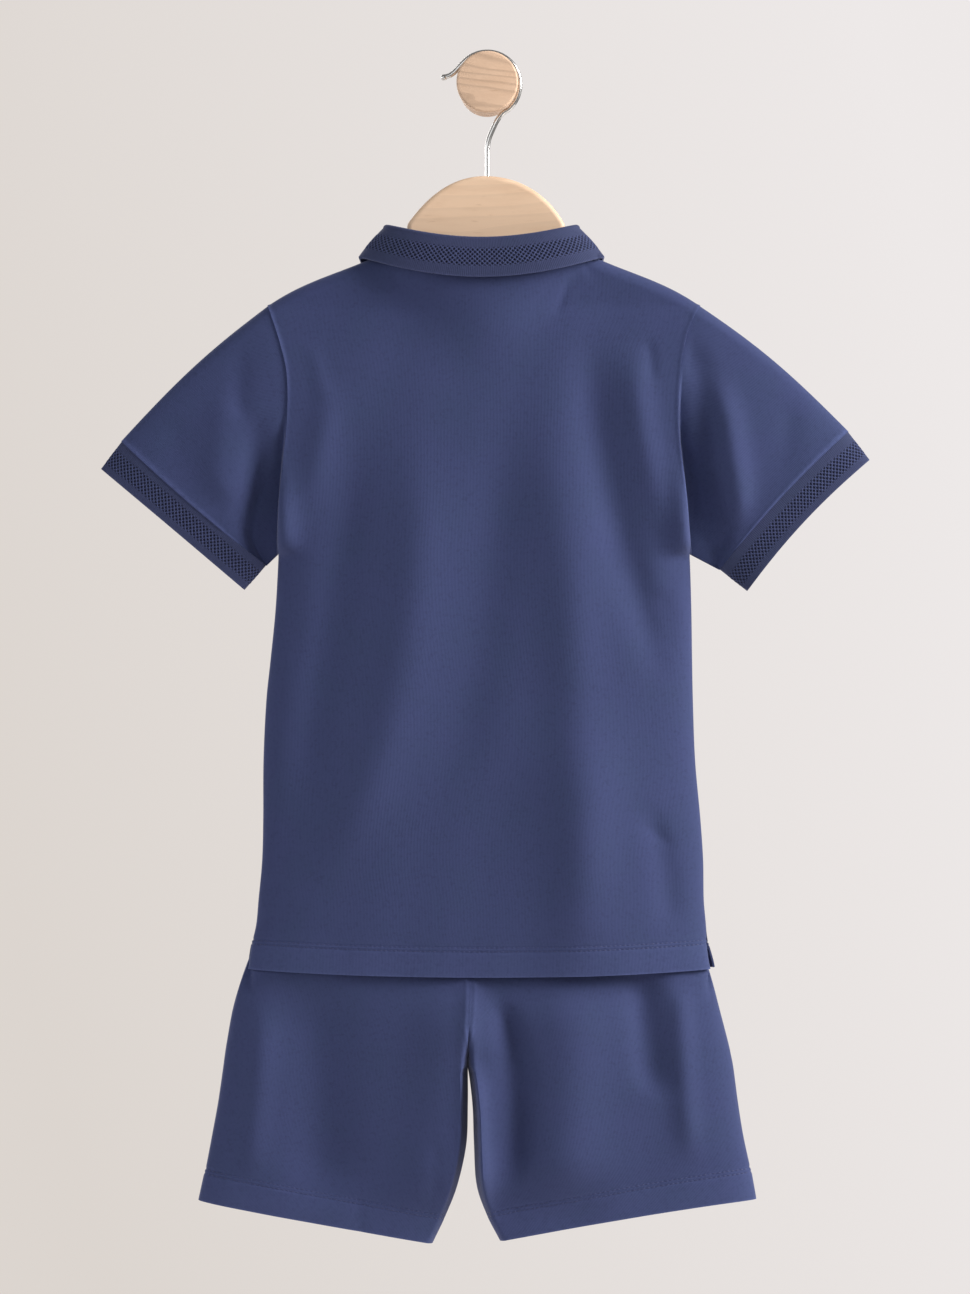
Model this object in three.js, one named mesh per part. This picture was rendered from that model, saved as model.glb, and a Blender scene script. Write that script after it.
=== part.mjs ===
// A child's polo shirt and shorts, hung together on a wooden hanger over a round wall peg.
// Sizes are in millimetres. The wall is the plane y = 0, z is up, and the back of the clothes faces -y.
// The origin is the middle of the peg's flat back face.
import * as THREE from "three";

// Driving sizes
const CLOTH = 1.2;
const RIB = 1.5;
const GAP = 0.3;
const HANG_Y = -34;
const TIP_Z = -147;
const UNDERARM_Z = -311;
const SHOULDER_ROUND = 9;
const UNDERARM_ROUND = 24;
const UNDERARM_FADE = 70;
const EDGE_REACH = 12;
const VENT_TOP_Z = -555;
const VENT_HALF_OPEN = 5;
const HEM_Z = -584;
const HEM_DROP = 4.6;
const SECTION_POWER = 2.4;
const NECK_BLEND = 6;
const ARMHOLE_STEP = 1.0;
const ARMHOLE_GAP = 0.2;
const SHOULDER_BOW = { rise: 28, turn: 0.3 };
const OVAL_POWER = 3;
const ROOT_POWER = 1.2;
const HEM_CURVE_TOP_Z = -500;
const NECK = {
  x: -1.8, half: 60.5, z: -108.5, backDrop: 17.5, backDepth: 21,
  frontDrop: 58, frontDepth: 20, frontCurve: 1.15, spread: 60, soften: 40, fadeStart: 10, fade: 150,
};
const FOLD = { sideShare: 0.12, topFade: 60, taperTop: 0.3, taperEnd: 0.25 };
const CUFF = { step: 1.2, power: 2.2 };
const COLLAR = {
  x: -3.8, foldHalf: 65, foldZ: -93.4, foldDrop: 9.6, foldFrontDrop: 55, foldRadius: 2.3,
  edgeHalf: 81.2, edgeZ: -114.6, edgeDrop: 15, endAngle: 171, pointX: 35, pointZ: -192, clear: 0.8,
  backStand: 4, frontStand: 3, fallDepth: 6, flare: 0.8, frontSweep: 0.85, beside: 4, ridge: 0.12,
};
const WAISTBAND = { top: -452, bottom: -484, taper: 0.2, backShare: 1.06, frontShare: 0.9 };
const CROTCH = { z: -650, rise: 46, round: 34, power: 2.4 };
const LEG = {
  innerShare: 0.8, innerRound: 10, foldSide: 0.14, foldTopZ: -540, foldTopFade: 40, freeBelow: 8,
  hemCurve: { left: 1, right: 1.25 },
};
const PLACKET = { width: 27, top: -168.5, length: 112, gap: 0.3 };
const BUTTON = { radius: 5, thick: 2.2, rim: 0.5, dish: 0.6, spacing: 40, first: 14 };
const HANGER = {
  thick: 12, bevel: 3, leftTipX: -139, rightTipX: 134, clear: 2.2, neckDrop: 2.7, crestZ: -61.5, baseZ: -112,
  tipDrop: 1, tipHeight: 13, tipIn: 6, tipOut: 1, tipMiddle: 8,
};
const HOOK = { wire: 1.7, radius: 21.5, sides: 8, steps: 44, startAngle: -62, endAngle: 150, step: 11.8 };
const PEG = { neck: 18.6, disc: 20.3, thick: 9, round: 1.5, chamfer: 0.6, clear: 0.8, sides: 44 };

// The hanger's crest inside its rounded edge, from the left of the neck to the right: each curve's
// two handles and its end.
const HANGER_CREST = [
  { x1: -54.5, z1: -114, x2: -51.5, z2: -106, x: -49.6, z: -94 },
  { x1: -42, z1: -84, x2: -27, z2: -64.5, x: -1.5, z: -64.5 },
  { x1: 25, z1: -64.5, x2: 41, z2: -81, x: 48, z: -94 },
];
const CREST_END = { x1: 49, z1: -106, x2: 51.5, z2: -114 };
const HANGER_UNDERSIDE = { rightX: 80, leftX: -82, tipZ: -136, middleX: 44 };
// The hook's line below the round part and past it.
const HOOK_FOOT = [{ x: 0, z: -52 }, { x: 0.4, z: -40 }, { x: 3.2, z: -31.5 }];
const HOOK_END = [{ x: -24, z: 5.6 }, { x: -29.4, z: 3.6 }];

const NAVY = 0x3a4069;
const NAVY_RIB = 0x373c60;
const BEECH = 0xd9bb9b;
const STEEL = 0xb9bcc0;
const BUTTON_NAVY = 0x2b2f4d;

// Shirt sections, from the shoulder tip to the hem: where each edge lies, and half the depth at the
// middle and at the armhole.
const SHIRT = [
  { z: -147, left: -144.7, right: 140.2, depth: 10, armhole: 8.6 },
  { z: -158, left: -140.8, right: 134.5, depth: 12.5, armhole: 10.4 },
  { z: -172, left: -136.3, right: 129.9, depth: 14.5, armhole: 12.4 },
  { z: -190, left: -132.1, right: 127.2, depth: 17, armhole: 14.2 },
  { z: -210, left: -131.2, right: 125.7, depth: 19, armhole: 16 },
  { z: -232, left: -132.3, right: 126.0, depth: 20.5, armhole: 17.4 },
  { z: -254, left: -134.5, right: 128.4, depth: 21.8, armhole: 18 },
  { z: -276, left: -136.6, right: 130.8, depth: 22.8, armhole: 18 },
  { z: -294, left: -137.3, right: 132.2, depth: 23.5, armhole: 17 },
  { z: -311, left: -138.0, right: 133.8, depth: 24, armhole: 16 },
  { z: -348, left: -140.1, right: 135.0, depth: 24.6, armhole: 0 },
  { z: -381, left: -143.4, right: 135.5, depth: 25, armhole: 0 },
  { z: -407, left: -146.1, right: 136.0, depth: 25, armhole: 0 },
  { z: -447, left: -148.0, right: 137.5, depth: 25, armhole: 0 },
  { z: -486, left: -148.2, right: 141.0, depth: 25, armhole: 0 },
  { z: -513, left: -148.9, right: 142.8, depth: 25, armhole: 0 },
  { z: -539, left: -151.3, right: 143.2, depth: 25, armhole: 0 },
  { z: -555, left: -152.8, right: 144.6, depth: 25, armhole: 0 },
  { z: -570, left: -156.2, right: 145.6, depth: 24.6, armhole: 0 },
  { z: -584, left: -158.4, right: 148.3, depth: 24.4, armhole: 0 },
];

// Soft folds: the line of each one at its top, middle and end, how wide it is, and how far it stands
// out (or in, where the rise is negative).
const SHIRT_FOLDS = {
  back: [
    { x0: -83, z0: -205, x1: -101, z1: -340, x2: -132, z2: -500, width: 15, rise: -2.4 },
    { x0: -49, z0: -215, x1: -64, z1: -370, x2: -118, z2: -540, width: 19, rise: 3.0 },
    { x0: 2, z0: -215, x1: -9, z1: -350, x2: -18, z2: -470, width: 20, rise: -2.0 },
    { x0: 37, z0: -185, x1: 36, z1: -320, x2: 70, z2: -530, width: 20, rise: 2.8 },
    { x0: 66, z0: -155, x1: 82, z1: -290, x2: 106, z2: -435, width: 13, rise: -2.6 },
    { x0: 95, z0: -165, x1: 104, z1: -260, x2: 118, z2: -330, width: 11, rise: 1.8 },
    { x0: 104, z0: -470, x1: 118, z1: -520, x2: 122, z2: -560, width: 10, rise: -1.6 },
    { x0: 60, z0: -400, x1: 66, z1: -500, x2: 74, z2: -640, width: 38, rise: 3 },
  ],
  front: [
    { x0: -70, z0: -190, x1: -88, z1: -320, x2: -112, z2: -500, width: 17, rise: -2.2 },
    { x0: -34, z0: -290, x1: -44, z1: -400, x2: -70, z2: -540, width: 20, rise: 2.6 },
    { x0: 6, z0: -300, x1: 12, z1: -400, x2: 16, z2: -520, width: 17, rise: -1.8 },
    { x0: 52, z0: -210, x1: 50, z1: -350, x2: 66, z2: -530, width: 19, rise: 2.6 },
    { x0: 88, z0: -180, x1: 96, z1: -300, x2: 112, z2: -450, width: 14, rise: -2.4 },
  ],
};
const SHORTS_FOLDS = {
  back: [
    { x0: -146, z0: -596, x1: -150, z1: -660, x2: -157, z2: -730, width: 9, rise: 1.8 },
    { x0: -112, z0: -575, x1: -108, z1: -658, x2: -100, z2: -745, width: 19, rise: -4.0 },
    { x0: -26, z0: -575, x1: -26, z1: -665, x2: -34, z2: -760, width: 25, rise: 3.8 },
    { x0: -2, z0: -588, x1: 19, z1: -658, x2: 12, z2: -722, width: 9, rise: -2.6 },
    { x0: 52, z0: -570, x1: 58, z1: -660, x2: 52, z2: -750, width: 23, rise: 3.4 },
    { x0: 103, z0: -575, x1: 108, z1: -625, x2: 112, z2: -675, width: 11, rise: -3.0 },
    { x0: 126, z0: -575, x1: 129, z1: -645, x2: 134, z2: -715, width: 8, rise: 2.2 },
  ],
  front: [
    { x0: -128, z0: -580, x1: -132, z1: -650, x2: -138, z2: -735, width: 12, rise: -2.4 },
    { x0: -84, z0: -560, x1: -80, z1: -650, x2: -76, z2: -748, width: 16, rise: 2.8 },
    { x0: -42, z0: -600, x1: -44, z1: -670, x2: -50, z2: -740, width: 11, rise: -2.2 },
    { x0: 36, z0: -600, x1: 38, z1: -670, x2: 42, z2: -740, width: 11, rise: -2.2 },
    { x0: 76, z0: -560, x1: 80, z1: -650, x2: 86, z2: -745, width: 17, rise: 2.8 },
    { x0: 122, z0: -580, x1: 126, z1: -650, x2: 130, z2: -730, width: 12, rise: -2.4 },
  ],
};

// Sleeve outlines in the front view: the cuff seam and the cuff's open edge, from the top fold to the
// underarm seam, and half the depth of each ring.
const SLEEVES = {
  left: {
    seam: { topX: -241.6, topZ: -236.2, midX: -191.6, midZ: -281.3, endX: -145.6, endZ: -318.4 },
    edge: { topX: -255.2, topZ: -254.2, midX: -206.8, midZ: -294.6, endX: -159.9, endZ: -334.6 },
    crown: 5,
  },
  right: {
    seam: { topX: 238.4, topZ: -229.8, midX: 193.4, midZ: -273.6, endX: 153.2, endZ: -321.2 },
    edge: { topX: 252.6, topZ: -248.2, midX: 208.4, midZ: -289.6, endX: 171.2, endZ: -335.4 },
    crown: 6,
  },
};
const SLEEVE_DEPTH = { seam: 14, edge: 12.5 };
const SLEEVE_STATIONS = [0, 0.14, 0.36, 0.6, 0.82, 1];
const COLLAR_STEPS = 19;
const COLLAR_TURN = 9;
const COLLAR_SHOULDER = 4.5;
const STAND_MIDDLE = 0.55;
// The collar's fold: how far over it each point lies, and how far below its top.
const COLLAR_FOLD = [{ over: 0.15, drop: 0.6 }, { over: 0.5, drop: 0 }, { over: 0.85, drop: 0.6 }];
const FALL_STATIONS = [0.35, 0.7, 1];
const PLACKET_ROWS = 6;
const PLACKET_COLUMNS = [-0.5, -0.25, 0, 0.25, 0.5];
const WAISTBAND_COLUMNS = [
  0, 0.012, 0.04, 0.09, 0.17, 0.27, 0.38, 0.5, 0.62, 0.73, 0.83, 0.91, 0.96, 0.988, 1,
];
const BUTTON_COUNT = 3;
const BUTTON_SIDES = 14;
const ROOM_BESIDE = 3;

// Shorts sections: the outer edge and the inner edge of each leg, and half the depth.
const LEGS = {
  left: [
    { outX: -118.5, outZ: -484, inX: -6.5, inZ: -484, depth: 23.4 },
    { outX: -134, outZ: -520, inX: -8, inZ: -520, depth: 21 },
    { outX: -149, outZ: -558, inX: -9.6, inZ: -558, depth: 19 },
    { outX: -157.5, outZ: -578, inX: -10.3, inZ: -578, depth: 18 },
    { outX: -163.5, outZ: -595, inX: -10.9, inZ: -595, depth: 18.5 },
    { outX: -168.2, outZ: -612, inX: -11.6, inZ: -614, depth: 20 },
    { outX: -171.8, outZ: -632, inX: -12.3, inZ: -633, depth: 21 },
    { outX: -173.2, outZ: -641, inX: -12.7, inZ: -642, depth: 21 },
    { outX: -174.4, outZ: -650, inX: -13, inZ: -650, depth: 21 },
    { outX: -177.6, outZ: -672, inX: -12.8, inZ: -674, depth: 20.5 },
    { outX: -181.6, outZ: -694, inX: -13.8, inZ: -700, depth: 20 },
    { outX: -185.6, outZ: -715, inX: -19.4, inZ: -726, depth: 19 },
    { outX: -188.4, outZ: -728, inX: -26.6, inZ: -745, depth: 18 },
    { outX: -190.3, outZ: -736.7, inX: -35.8, inZ: -764.4, depth: 17.5 },
  ],
  right: [
    { outX: 108.5, outZ: -484, inX: -6.5, inZ: -484, depth: 23.4 },
    { outX: 123.5, outZ: -520, inX: -8, inZ: -520, depth: 21 },
    { outX: 138, outZ: -558, inX: -9.6, inZ: -558, depth: 19 },
    { outX: 144.2, outZ: -578, inX: -10.3, inZ: -578, depth: 18 },
    { outX: 149.2, outZ: -595, inX: -10.9, inZ: -595, depth: 18.5 },
    { outX: 153.6, outZ: -612, inX: -11.6, inZ: -614, depth: 20 },
    { outX: 158.8, outZ: -632, inX: -12.3, inZ: -633, depth: 21 },
    { outX: 160.8, outZ: -641, inX: -12.7, inZ: -642, depth: 21 },
    { outX: 162.5, outZ: -650, inX: -12.4, inZ: -650, depth: 21 },
    { outX: 165.4, outZ: -672, inX: -9.8, inZ: -674, depth: 20.5 },
    { outX: 168.9, outZ: -694, inX: -8.8, inZ: -700, depth: 20 },
    { outX: 173.4, outZ: -715, inX: -7.2, inZ: -726, depth: 19 },
    { outX: 175.8, outZ: -728, inX: -1, inZ: -745, depth: 18 },
    { outX: 177.2, outZ: -736, inX: 8.1, inZ: -762.8, depth: 17.5 },
  ],
};

// Where the rows and columns of the shirt's two panels lie.
const ARMHOLE_ROWS = [-147, -148.6, -152, -158.5, -173, -195, -222, -250, -275, -296, -307, -311];
const SIDE_ROWS = [-340, -385, -430, -475, -520, -555, -570, -584];
const SHOULDER_COLUMNS = [0, 0.014, 0.045, 0.1, 0.18, 0.25];
const NECK_COLUMN = 0.29;
const NECK_SPANS = 10;
const SHIRT_COLUMNS = [
  ...SHOULDER_COLUMNS,
  ...Array.from({ length: NECK_SPANS + 1 }, (_, k) => NECK_COLUMN + ((1 - 2 * NECK_COLUMN) * k) / NECK_SPANS),
  ...SHOULDER_COLUMNS.map((u) => 1 - u).reverse(),
];
const VENT_ROW = ARMHOLE_ROWS.length + SIDE_ROWS.indexOf(VENT_TOP_Z);
const LEG_COLUMNS = [0, 0.025, 0.08, 0.18, 0.33, 0.5, 0.67, 0.82, 0.92, 0.975, 1];

const clamp01 = (t) => Math.min(1, Math.max(0, t));
const mix = (a, b, t) => a + (b - a) * t;
const smooth = (t) => clamp01(t) ** 2 * (3 - 2 * clamp01(t));
const quarterRound = (t) => Math.sqrt(1 - (1 - clamp01(t)) ** 2);
const sideSign = (side) => (side === "back" ? -1 : 1);

// One column of a table at height z, on a smooth curve through its rows.
function sizeAt(table, key, column, z) {
  const last = table.length - 1;
  if (z >= table[0][key]) return table[0][column];
  if (z <= table[last][key]) return table[last][column];
  let i = 0;
  while (table[i + 1][key] > z) i += 1;
  const slope = (k) => {
    const a = table[Math.max(k - 1, 0)];
    const b = table[Math.min(k + 1, last)];
    return (b[column] - a[column]) / (b[key] - a[key]);
  };
  const step = table[i + 1][key] - table[i][key];
  const t = (z - table[i][key]) / step;
  const rise = table[i + 1][column] - table[i][column];
  const from = slope(i) * step;
  const to = slope(i + 1) * step;
  return table[i][column] + t * (from + t * (3 * rise - 2 * from - to + t * (from + to - 2 * rise)));
}

// A rounded section: 0 at each end, 1 in the middle.
const crown = (u) => (1 - Math.abs(2 * clamp01(u) - 1) ** SECTION_POWER) ** (1 / SECTION_POWER);

// What the folds of a table add at one place.
function foldsAt(folds, x, z) {
  let sum = 0;
  for (const f of folds) {
    const t = (z - f.z0) / (f.z2 - f.z0);
    if (t <= 0 || t >= 1) continue;
    const m = (f.z1 - f.z0) / (f.z2 - f.z0);
    const bow = (f.x1 - mix(f.x0, f.x2, m)) / (m * (1 - m));
    const line = mix(f.x0, f.x2, t) + bow * t * (1 - t);
    const taper = smooth(t / FOLD.taperTop) * smooth((1 - t) / FOLD.taperEnd);
    sum += f.rise * taper * Math.exp(-(((x - line) / f.width) ** 2));
  }
  return sum;
}

// Depth of the neck's oval, 1 at its middle and 0 at its sides.
const ovalDepth = (across) => Math.sqrt(1 - Math.min(Math.abs(across), 1) ** OVAL_POWER);

// The shirt's top edge in the front view: the shoulder line, and the neckline between.
function topEdge(x, side) {
  const across = (x - NECK.x) / NECK.half;
  if (Math.abs(across) < 1) {
    const open = 1 - across ** 2;
    if (side === "back") return NECK.z - NECK.backDrop * open;
    return NECK.z - NECK.frontDrop * open ** NECK.frontCurve;
  }
  const tip = x < 0 ? SHIRT[0].left : SHIRT[0].right;
  const neckEnd = NECK.x + Math.sign(x) * NECK.half;
  const share = (x - neckEnd) / (tip - neckEnd);
  const bow = SHOULDER_BOW.rise * Math.max(share * (1 - share), 0) * (share - SHOULDER_BOW.turn);
  return mix(NECK.z, TIP_Z, share) + bow;
}

// A point of the neckline; the angle runs from -90 at the left of the neck to 90 at the right. Its
// corners are the panel's own, so the collar follows the same straight stretches.
function neckSeam(degrees, side) {
  const step = 180 / NECK_SPANS;
  const from = Math.floor((degrees + 90) / step + 1e-6);
  const corner = (k) => {
    const x = NECK.x + NECK.half * Math.sin(THREE.MathUtils.degToRad(k * step - 90));
    return { x, z: topEdge(x, side), depth: shirtDepth(x, topEdge(x, side), side) };
  };
  const share = (degrees + 90) / step - from;
  const [a, b] = [corner(Math.min(from, NECK_SPANS)), corner(Math.min(from + 1, NECK_SPANS))];
  return { x: mix(a.x, b.x, share), z: mix(a.z, b.z, share), depth: mix(a.depth, b.depth, share) };
}

// Where a column of the shirt panels meets the shoulder line or the neckline.
function columnTop(j) {
  const u = SHIRT_COLUMNS[j];
  const count = SHOULDER_COLUMNS.length;
  const [left, right] = [NECK.x - NECK.half, NECK.x + NECK.half];
  if (j < count) return mix(SHIRT[0].left, left, u / NECK_COLUMN);
  if (j > count + NECK_SPANS) return mix(SHIRT[0].right, right, (1 - u) / NECK_COLUMN);
  return NECK.x + NECK.half * Math.sin(Math.PI * ((j - count) / NECK_SPANS - 0.5));
}

// Half the depth of the shirt at a place in the front view, measured from the hanger's middle plane.
function shirtDepth(x, z, side) {
  const left = sizeAt(SHIRT, "z", "left", z);
  const right = sizeAt(SHIRT, "z", "right", z);
  const depth = sizeAt(SHIRT, "z", "depth", z);
  const u = clamp01((x - left) / (right - left));
  const armhole = z > UNDERARM_Z ? sizeAt(SHIRT, "z", "armhole", z) : 0;
  const vent = VENT_HALF_OPEN * smooth((VENT_TOP_Z - z) / (VENT_TOP_Z - HEM_Z));
  const atEdge = armhole * quarterRound((z - UNDERARM_Z) / UNDERARM_ROUND) + vent;
  const inside = armhole * smooth((z - UNDERARM_Z) / UNDERARM_FADE) + vent;
  const fromEdge = Math.min(x - left, right - x);
  const near = Math.exp(-((Math.max(fromEdge, 0) / EDGE_REACH) ** 2));
  const below = topEdge(x, side) - z;
  const across = Math.abs(x - NECK.x) / (NECK.half * (1 + Math.max(below, 0) / NECK.spread));
  const fade = smooth(Math.min(u, 1 - u) / FOLD.sideShare) * smooth(below / FOLD.topFade);
  const folds = foldsAt(SHIRT_FOLDS[side], x, z) * fade;
  const round = crown(u);
  const body = depth * round + inside * (1 - round) ** ROOT_POWER + (atEdge - inside) * near + folds;
  const hung = body * quarterRound(below / SHOULDER_ROUND);
  if (across >= 1) return hung;
  const neckDepth = side === "back" ? NECK.backDepth : NECK.frontDepth;
  const held = mix(ovalDepth(across), 1 - smooth(across), smooth(below / NECK.soften));
  const neck = neckDepth * held * (1 - smooth((below - NECK.fadeStart) / NECK.fade));
  return (neck ** NECK_BLEND + hung ** NECK_BLEND) ** (1 / NECK_BLEND);
}

const place = (x, z, depth, side) => new THREE.Vector3(x, HANG_Y + sideSign(side) * depth, z);

// Grid of points of the shirt's back or front panel, rows from the top edge to the hem.
function shirtGrid(side) {
  const hemRise = (z) => smooth((HEM_CURVE_TOP_Z - z) / (HEM_CURVE_TOP_Z - HEM_Z));
  return [...ARMHOLE_ROWS, ...SIDE_ROWS].map((z) => {
    const left = sizeAt(SHIRT, "z", "left", z);
    const right = sizeAt(SHIRT, "z", "right", z);
    return SHIRT_COLUMNS.map((u, j) => {
      const down = clamp01((TIP_Z - z) / (TIP_Z - UNDERARM_Z));
      const topX = columnTop(j);
      const spread = topX - mix(SHIRT[0].left, SHIRT[0].right, u);
      const x = mix(left, right, u) + spread * (1 - smooth(down * 2));
      const rise = (topEdge(topX, side) - TIP_Z) * (1 - down);
      const sag = HEM_DROP * hemRise(z) * (1 - (2 * u - 1) ** 2);
      return place(x, z + rise - sag, shirtDepth(x, z + rise, side), side);
    });
  });
}

// Normals of a grid, by the cross product of its two directions; sign turns them.
function gridNormals(grid, sign, closed) {
  const rows = grid.length;
  const columns = grid[0].length;
  return grid.map((line, i) =>
    line.map((point, j) => {
      const up = grid[Math.max(i - 1, 0)][j];
      const down = grid[Math.min(i + 1, rows - 1)][j];
      const before = closed ? line[(j - 1 + columns) % columns] : line[Math.max(j - 1, 0)];
      const after = closed ? line[(j + 1) % columns] : line[Math.min(j + 1, columns - 1)];
      const along = new THREE.Vector3().subVectors(down, up);
      const around = new THREE.Vector3().subVectors(after, before);
      return along.cross(around).normalize().multiplyScalar(sign);
    }),
  );
}

// A closed wall between a grid and the same grid moved in by its thickness. A closed grid is a tube,
// open at its two ends.
function wallGeometry(grid, normals, thick, closed) {
  const rows = grid.length;
  const columns = grid[0].length;
  const inner = grid.map((line, i) =>
    line.map((point, j) => point.clone().addScaledVector(normals[i][j], -thick)),
  );
  const points = [...grid.flat(), ...inner.flat()];
  const shift = rows * columns;
  const at = (i, j, layer) => layer * shift + i * columns + (j % columns);
  const index = [];
  const quad = (a, b, c, d) => index.push(a, b, c, a, c, d);
  const spans = closed ? columns : columns - 1;
  for (let i = 0; i < rows - 1; i += 1) {
    for (let j = 0; j < spans; j += 1) {
      quad(at(i, j, 0), at(i + 1, j, 0), at(i + 1, j + 1, 0), at(i, j + 1, 0));
      quad(at(i, j, 1), at(i, j + 1, 1), at(i + 1, j + 1, 1), at(i + 1, j, 1));
    }
  }
  for (let j = 0; j < spans; j += 1) {
    quad(at(0, j, 0), at(0, j + 1, 0), at(0, j + 1, 1), at(0, j, 1));
    quad(at(rows - 1, j, 0), at(rows - 1, j, 1), at(rows - 1, j + 1, 1), at(rows - 1, j + 1, 0));
  }
  if (!closed) {
    const end = columns - 1;
    for (let i = 0; i < rows - 1; i += 1) {
      quad(at(i, 0, 0), at(i, 0, 1), at(i + 1, 0, 1), at(i + 1, 0, 0));
      quad(at(i, end, 0), at(i + 1, end, 0), at(i + 1, end, 1), at(i, end, 1));
    }
  }
  const geometry = new THREE.BufferGeometry();
  geometry.setAttribute("position", new THREE.Float32BufferAttribute(points.flatMap((p) => p.toArray()), 3));
  geometry.setIndex(signedVolume(points, index) < 0 ? flipped(index) : index);
  geometry.computeVertexNormals();
  return geometry;
}

function signedVolume(points, index) {
  let sum = 0;
  for (let k = 0; k < index.length; k += 3) {
    const [a, b, c] = [points[index[k]], points[index[k + 1]], points[index[k + 2]]];
    sum += a.dot(new THREE.Vector3().crossVectors(b, c));
  }
  return sum / 6;
}

function flipped(index) {
  const turned = [];
  for (let k = 0; k < index.length; k += 3) turned.push(index[k], index[k + 2], index[k + 1]);
  return turned;
}

const set = new THREE.Group();
const fabric = (colour) => new THREE.MeshStandardMaterial({ color: colour, roughness: 0.9, metalness: 0 });

function addPiece(name, geometry, material) {
  const mesh = new THREE.Mesh(geometry, material);
  mesh.name = name;
  set.add(mesh);
  return mesh;
}

// Outward direction at a seam where back and front meet: the depth direction is left out.
function flatten(normal) {
  normal.y = 0;
  return normal.normalize();
}

// Half of the seam gap is taken off each edge of a panel.
function trimEdges(grid, amount, isSeam) {
  return grid.map((line, i) =>
    line.map((point, j) => {
      const moved = point.clone();
      const seam = isSeam(i, j);
      if (seam) moved.addScaledVector(seam, amount);
      return moved;
    }),
  );
}

// The sleeve's rings, and the directions of the cloth along the armhole, which both pieces share.
function sleeveParts(which, panels) {
  const outward = which === "left" ? -1 : 1;
  const rings = SLEEVE_STATIONS.map((s) => sleeveRing(which, s));
  rings[0].forEach((point) => {
    point.x += outward * ARMHOLE_GAP;
  });
  const normals = gridNormals(rings, -outward, true);
  const count = ARMHOLE_ROWS.length;
  const column = which === "left" ? 0 : SHIRT_COLUMNS.length - 1;
  normals[0].forEach((normal, k) => {
    const side = k < count ? "back" : "front";
    const row = k < count ? k : 2 * (count - 1) - k;
    const panelNormal = panels[side].normals[row][column];
    normal.add(panelNormal);
    normal.x = 0;
    if (row === 0 || row === count - 1) normal.y = 0;
    normal.normalize();
    panelNormal.copy(normal);
    const share = (TIP_Z - ARMHOLE_ROWS[row]) / (TIP_Z - UNDERARM_Z);
    rings[0][k].addScaledVector(normal, -ARMHOLE_STEP * Math.sin(Math.PI * share));
  });
  for (const row of [0, count - 1]) panels.front.normals[row][column].copy(normals[0][row]);
  return { rings, normals };
}

// Shirt back and front, with their directions along the side seams and shoulder seams made level
function shirtPanel(side) {
  const grid = shirtGrid(side);
  const normals = gridNormals(grid, -sideSign(side), false);
  const lastColumn = SHIRT_COLUMNS.length - 1;
  const neckStart = SHOULDER_COLUMNS.length;
  const onShoulder = (i, j) => i === 0 && (j <= neckStart || j >= neckStart + NECK_SPANS);
  normals.forEach((line, i) => {
    const sideEdge = i >= ARMHOLE_ROWS.length - 1 && i <= VENT_ROW;
    line.forEach((normal, j) => {
      if (onShoulder(i, j) || (sideEdge && (j === 0 || j === lastColumn))) flatten(normal);
    });
  });
  return { grid, normals, onShoulder };
}

function addShirt() {
  const panels = { back: shirtPanel("back"), front: shirtPanel("front") };
  const sleeves = { left: sleeveParts("left", panels), right: sleeveParts("right", panels) };
  for (const side of ["back", "front"]) addPanel(side, panels[side]);
  for (const which of ["left", "right"]) {
    const { rings, normals } = sleeves[which];
    addPiece("sleeve_" + which, wallGeometry(rings, normals, CLOTH, true), fabric(NAVY));
    addCuff(which);
  }
}

function addPanel(side, { grid, normals, onShoulder }) {
  const sign = sideSign(side);
  const armholeEnd = ARMHOLE_ROWS.length - 1;
  const lastColumn = SHIRT_COLUMNS.length - 1;
  const trimmed = trimEdges(grid, GAP / 2, (i, j) => {
    const move = new THREE.Vector3();
    if (onShoulder(i, j)) move.y += sign;
    if (j === 0 || j === lastColumn) {
      if (i >= armholeEnd) move.y += sign;
      if (i <= armholeEnd) move.x += j === 0 ? 1 : -1;
    }
    return move;
  });
  addPiece("shirt_" + side, wallGeometry(trimmed, normals, CLOTH, false), fabric(NAVY));
}

// A curve in the front view through three named points, at share t from the top to the end.
function threePoint(row, t) {
  const bow = (a, b, c) => mix(a, c, t) + 4 * (b - (a + c) / 2) * t * (1 - t);
  return { x: bow(row.topX, row.midX, row.endX), z: bow(row.topZ, row.midZ, row.endZ) };
}

// One ring of a sleeve: s is 0 at the armhole, 1 at the cuff seam and 2 at the cuff's open edge.
function sleeveRing(which, s) {
  const sleeve = SLEEVES[which];
  const ring = [];
  const count = ARMHOLE_ROWS.length;
  const stations = [];
  for (let k = 0; k < count; k += 1) stations.push({ k, side: "back" });
  for (let k = count - 2; k > 0; k -= 1) stations.push({ k, side: "front" });
  for (const { k, side } of stations) {
    const z = ARMHOLE_ROWS[k];
    const share = (TIP_Z - z) / (TIP_Z - UNDERARM_Z);
    const root = { x: sizeAt(SHIRT, "z", which, z), z };
    const seam = threePoint(sleeve.seam, share);
    const open = threePoint(sleeve.edge, share);
    const rootDepth = shirtDepth(root.x, z, side);
    const round = Math.max(1 - Math.abs(2 * share - 1) ** CUFF.power, 0) ** (1 / CUFF.power);
    const inward = clamp01(s);
    const beyond = clamp01(s - 1);
    const arch = sleeve.crown * Math.sin(Math.PI * inward) * (1 - share);
    const x = mix(mix(root.x, seam.x, inward), open.x, beyond);
    const height = mix(mix(root.z, seam.z, inward), open.z, beyond) + arch;
    const limb = round * mix(SLEEVE_DEPTH.seam, SLEEVE_DEPTH.edge, beyond);
    const depth = mix(rootDepth, limb, smooth(inward));
    ring.push(place(x, height, depth, side));
  }
  return ring;
}

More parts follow.
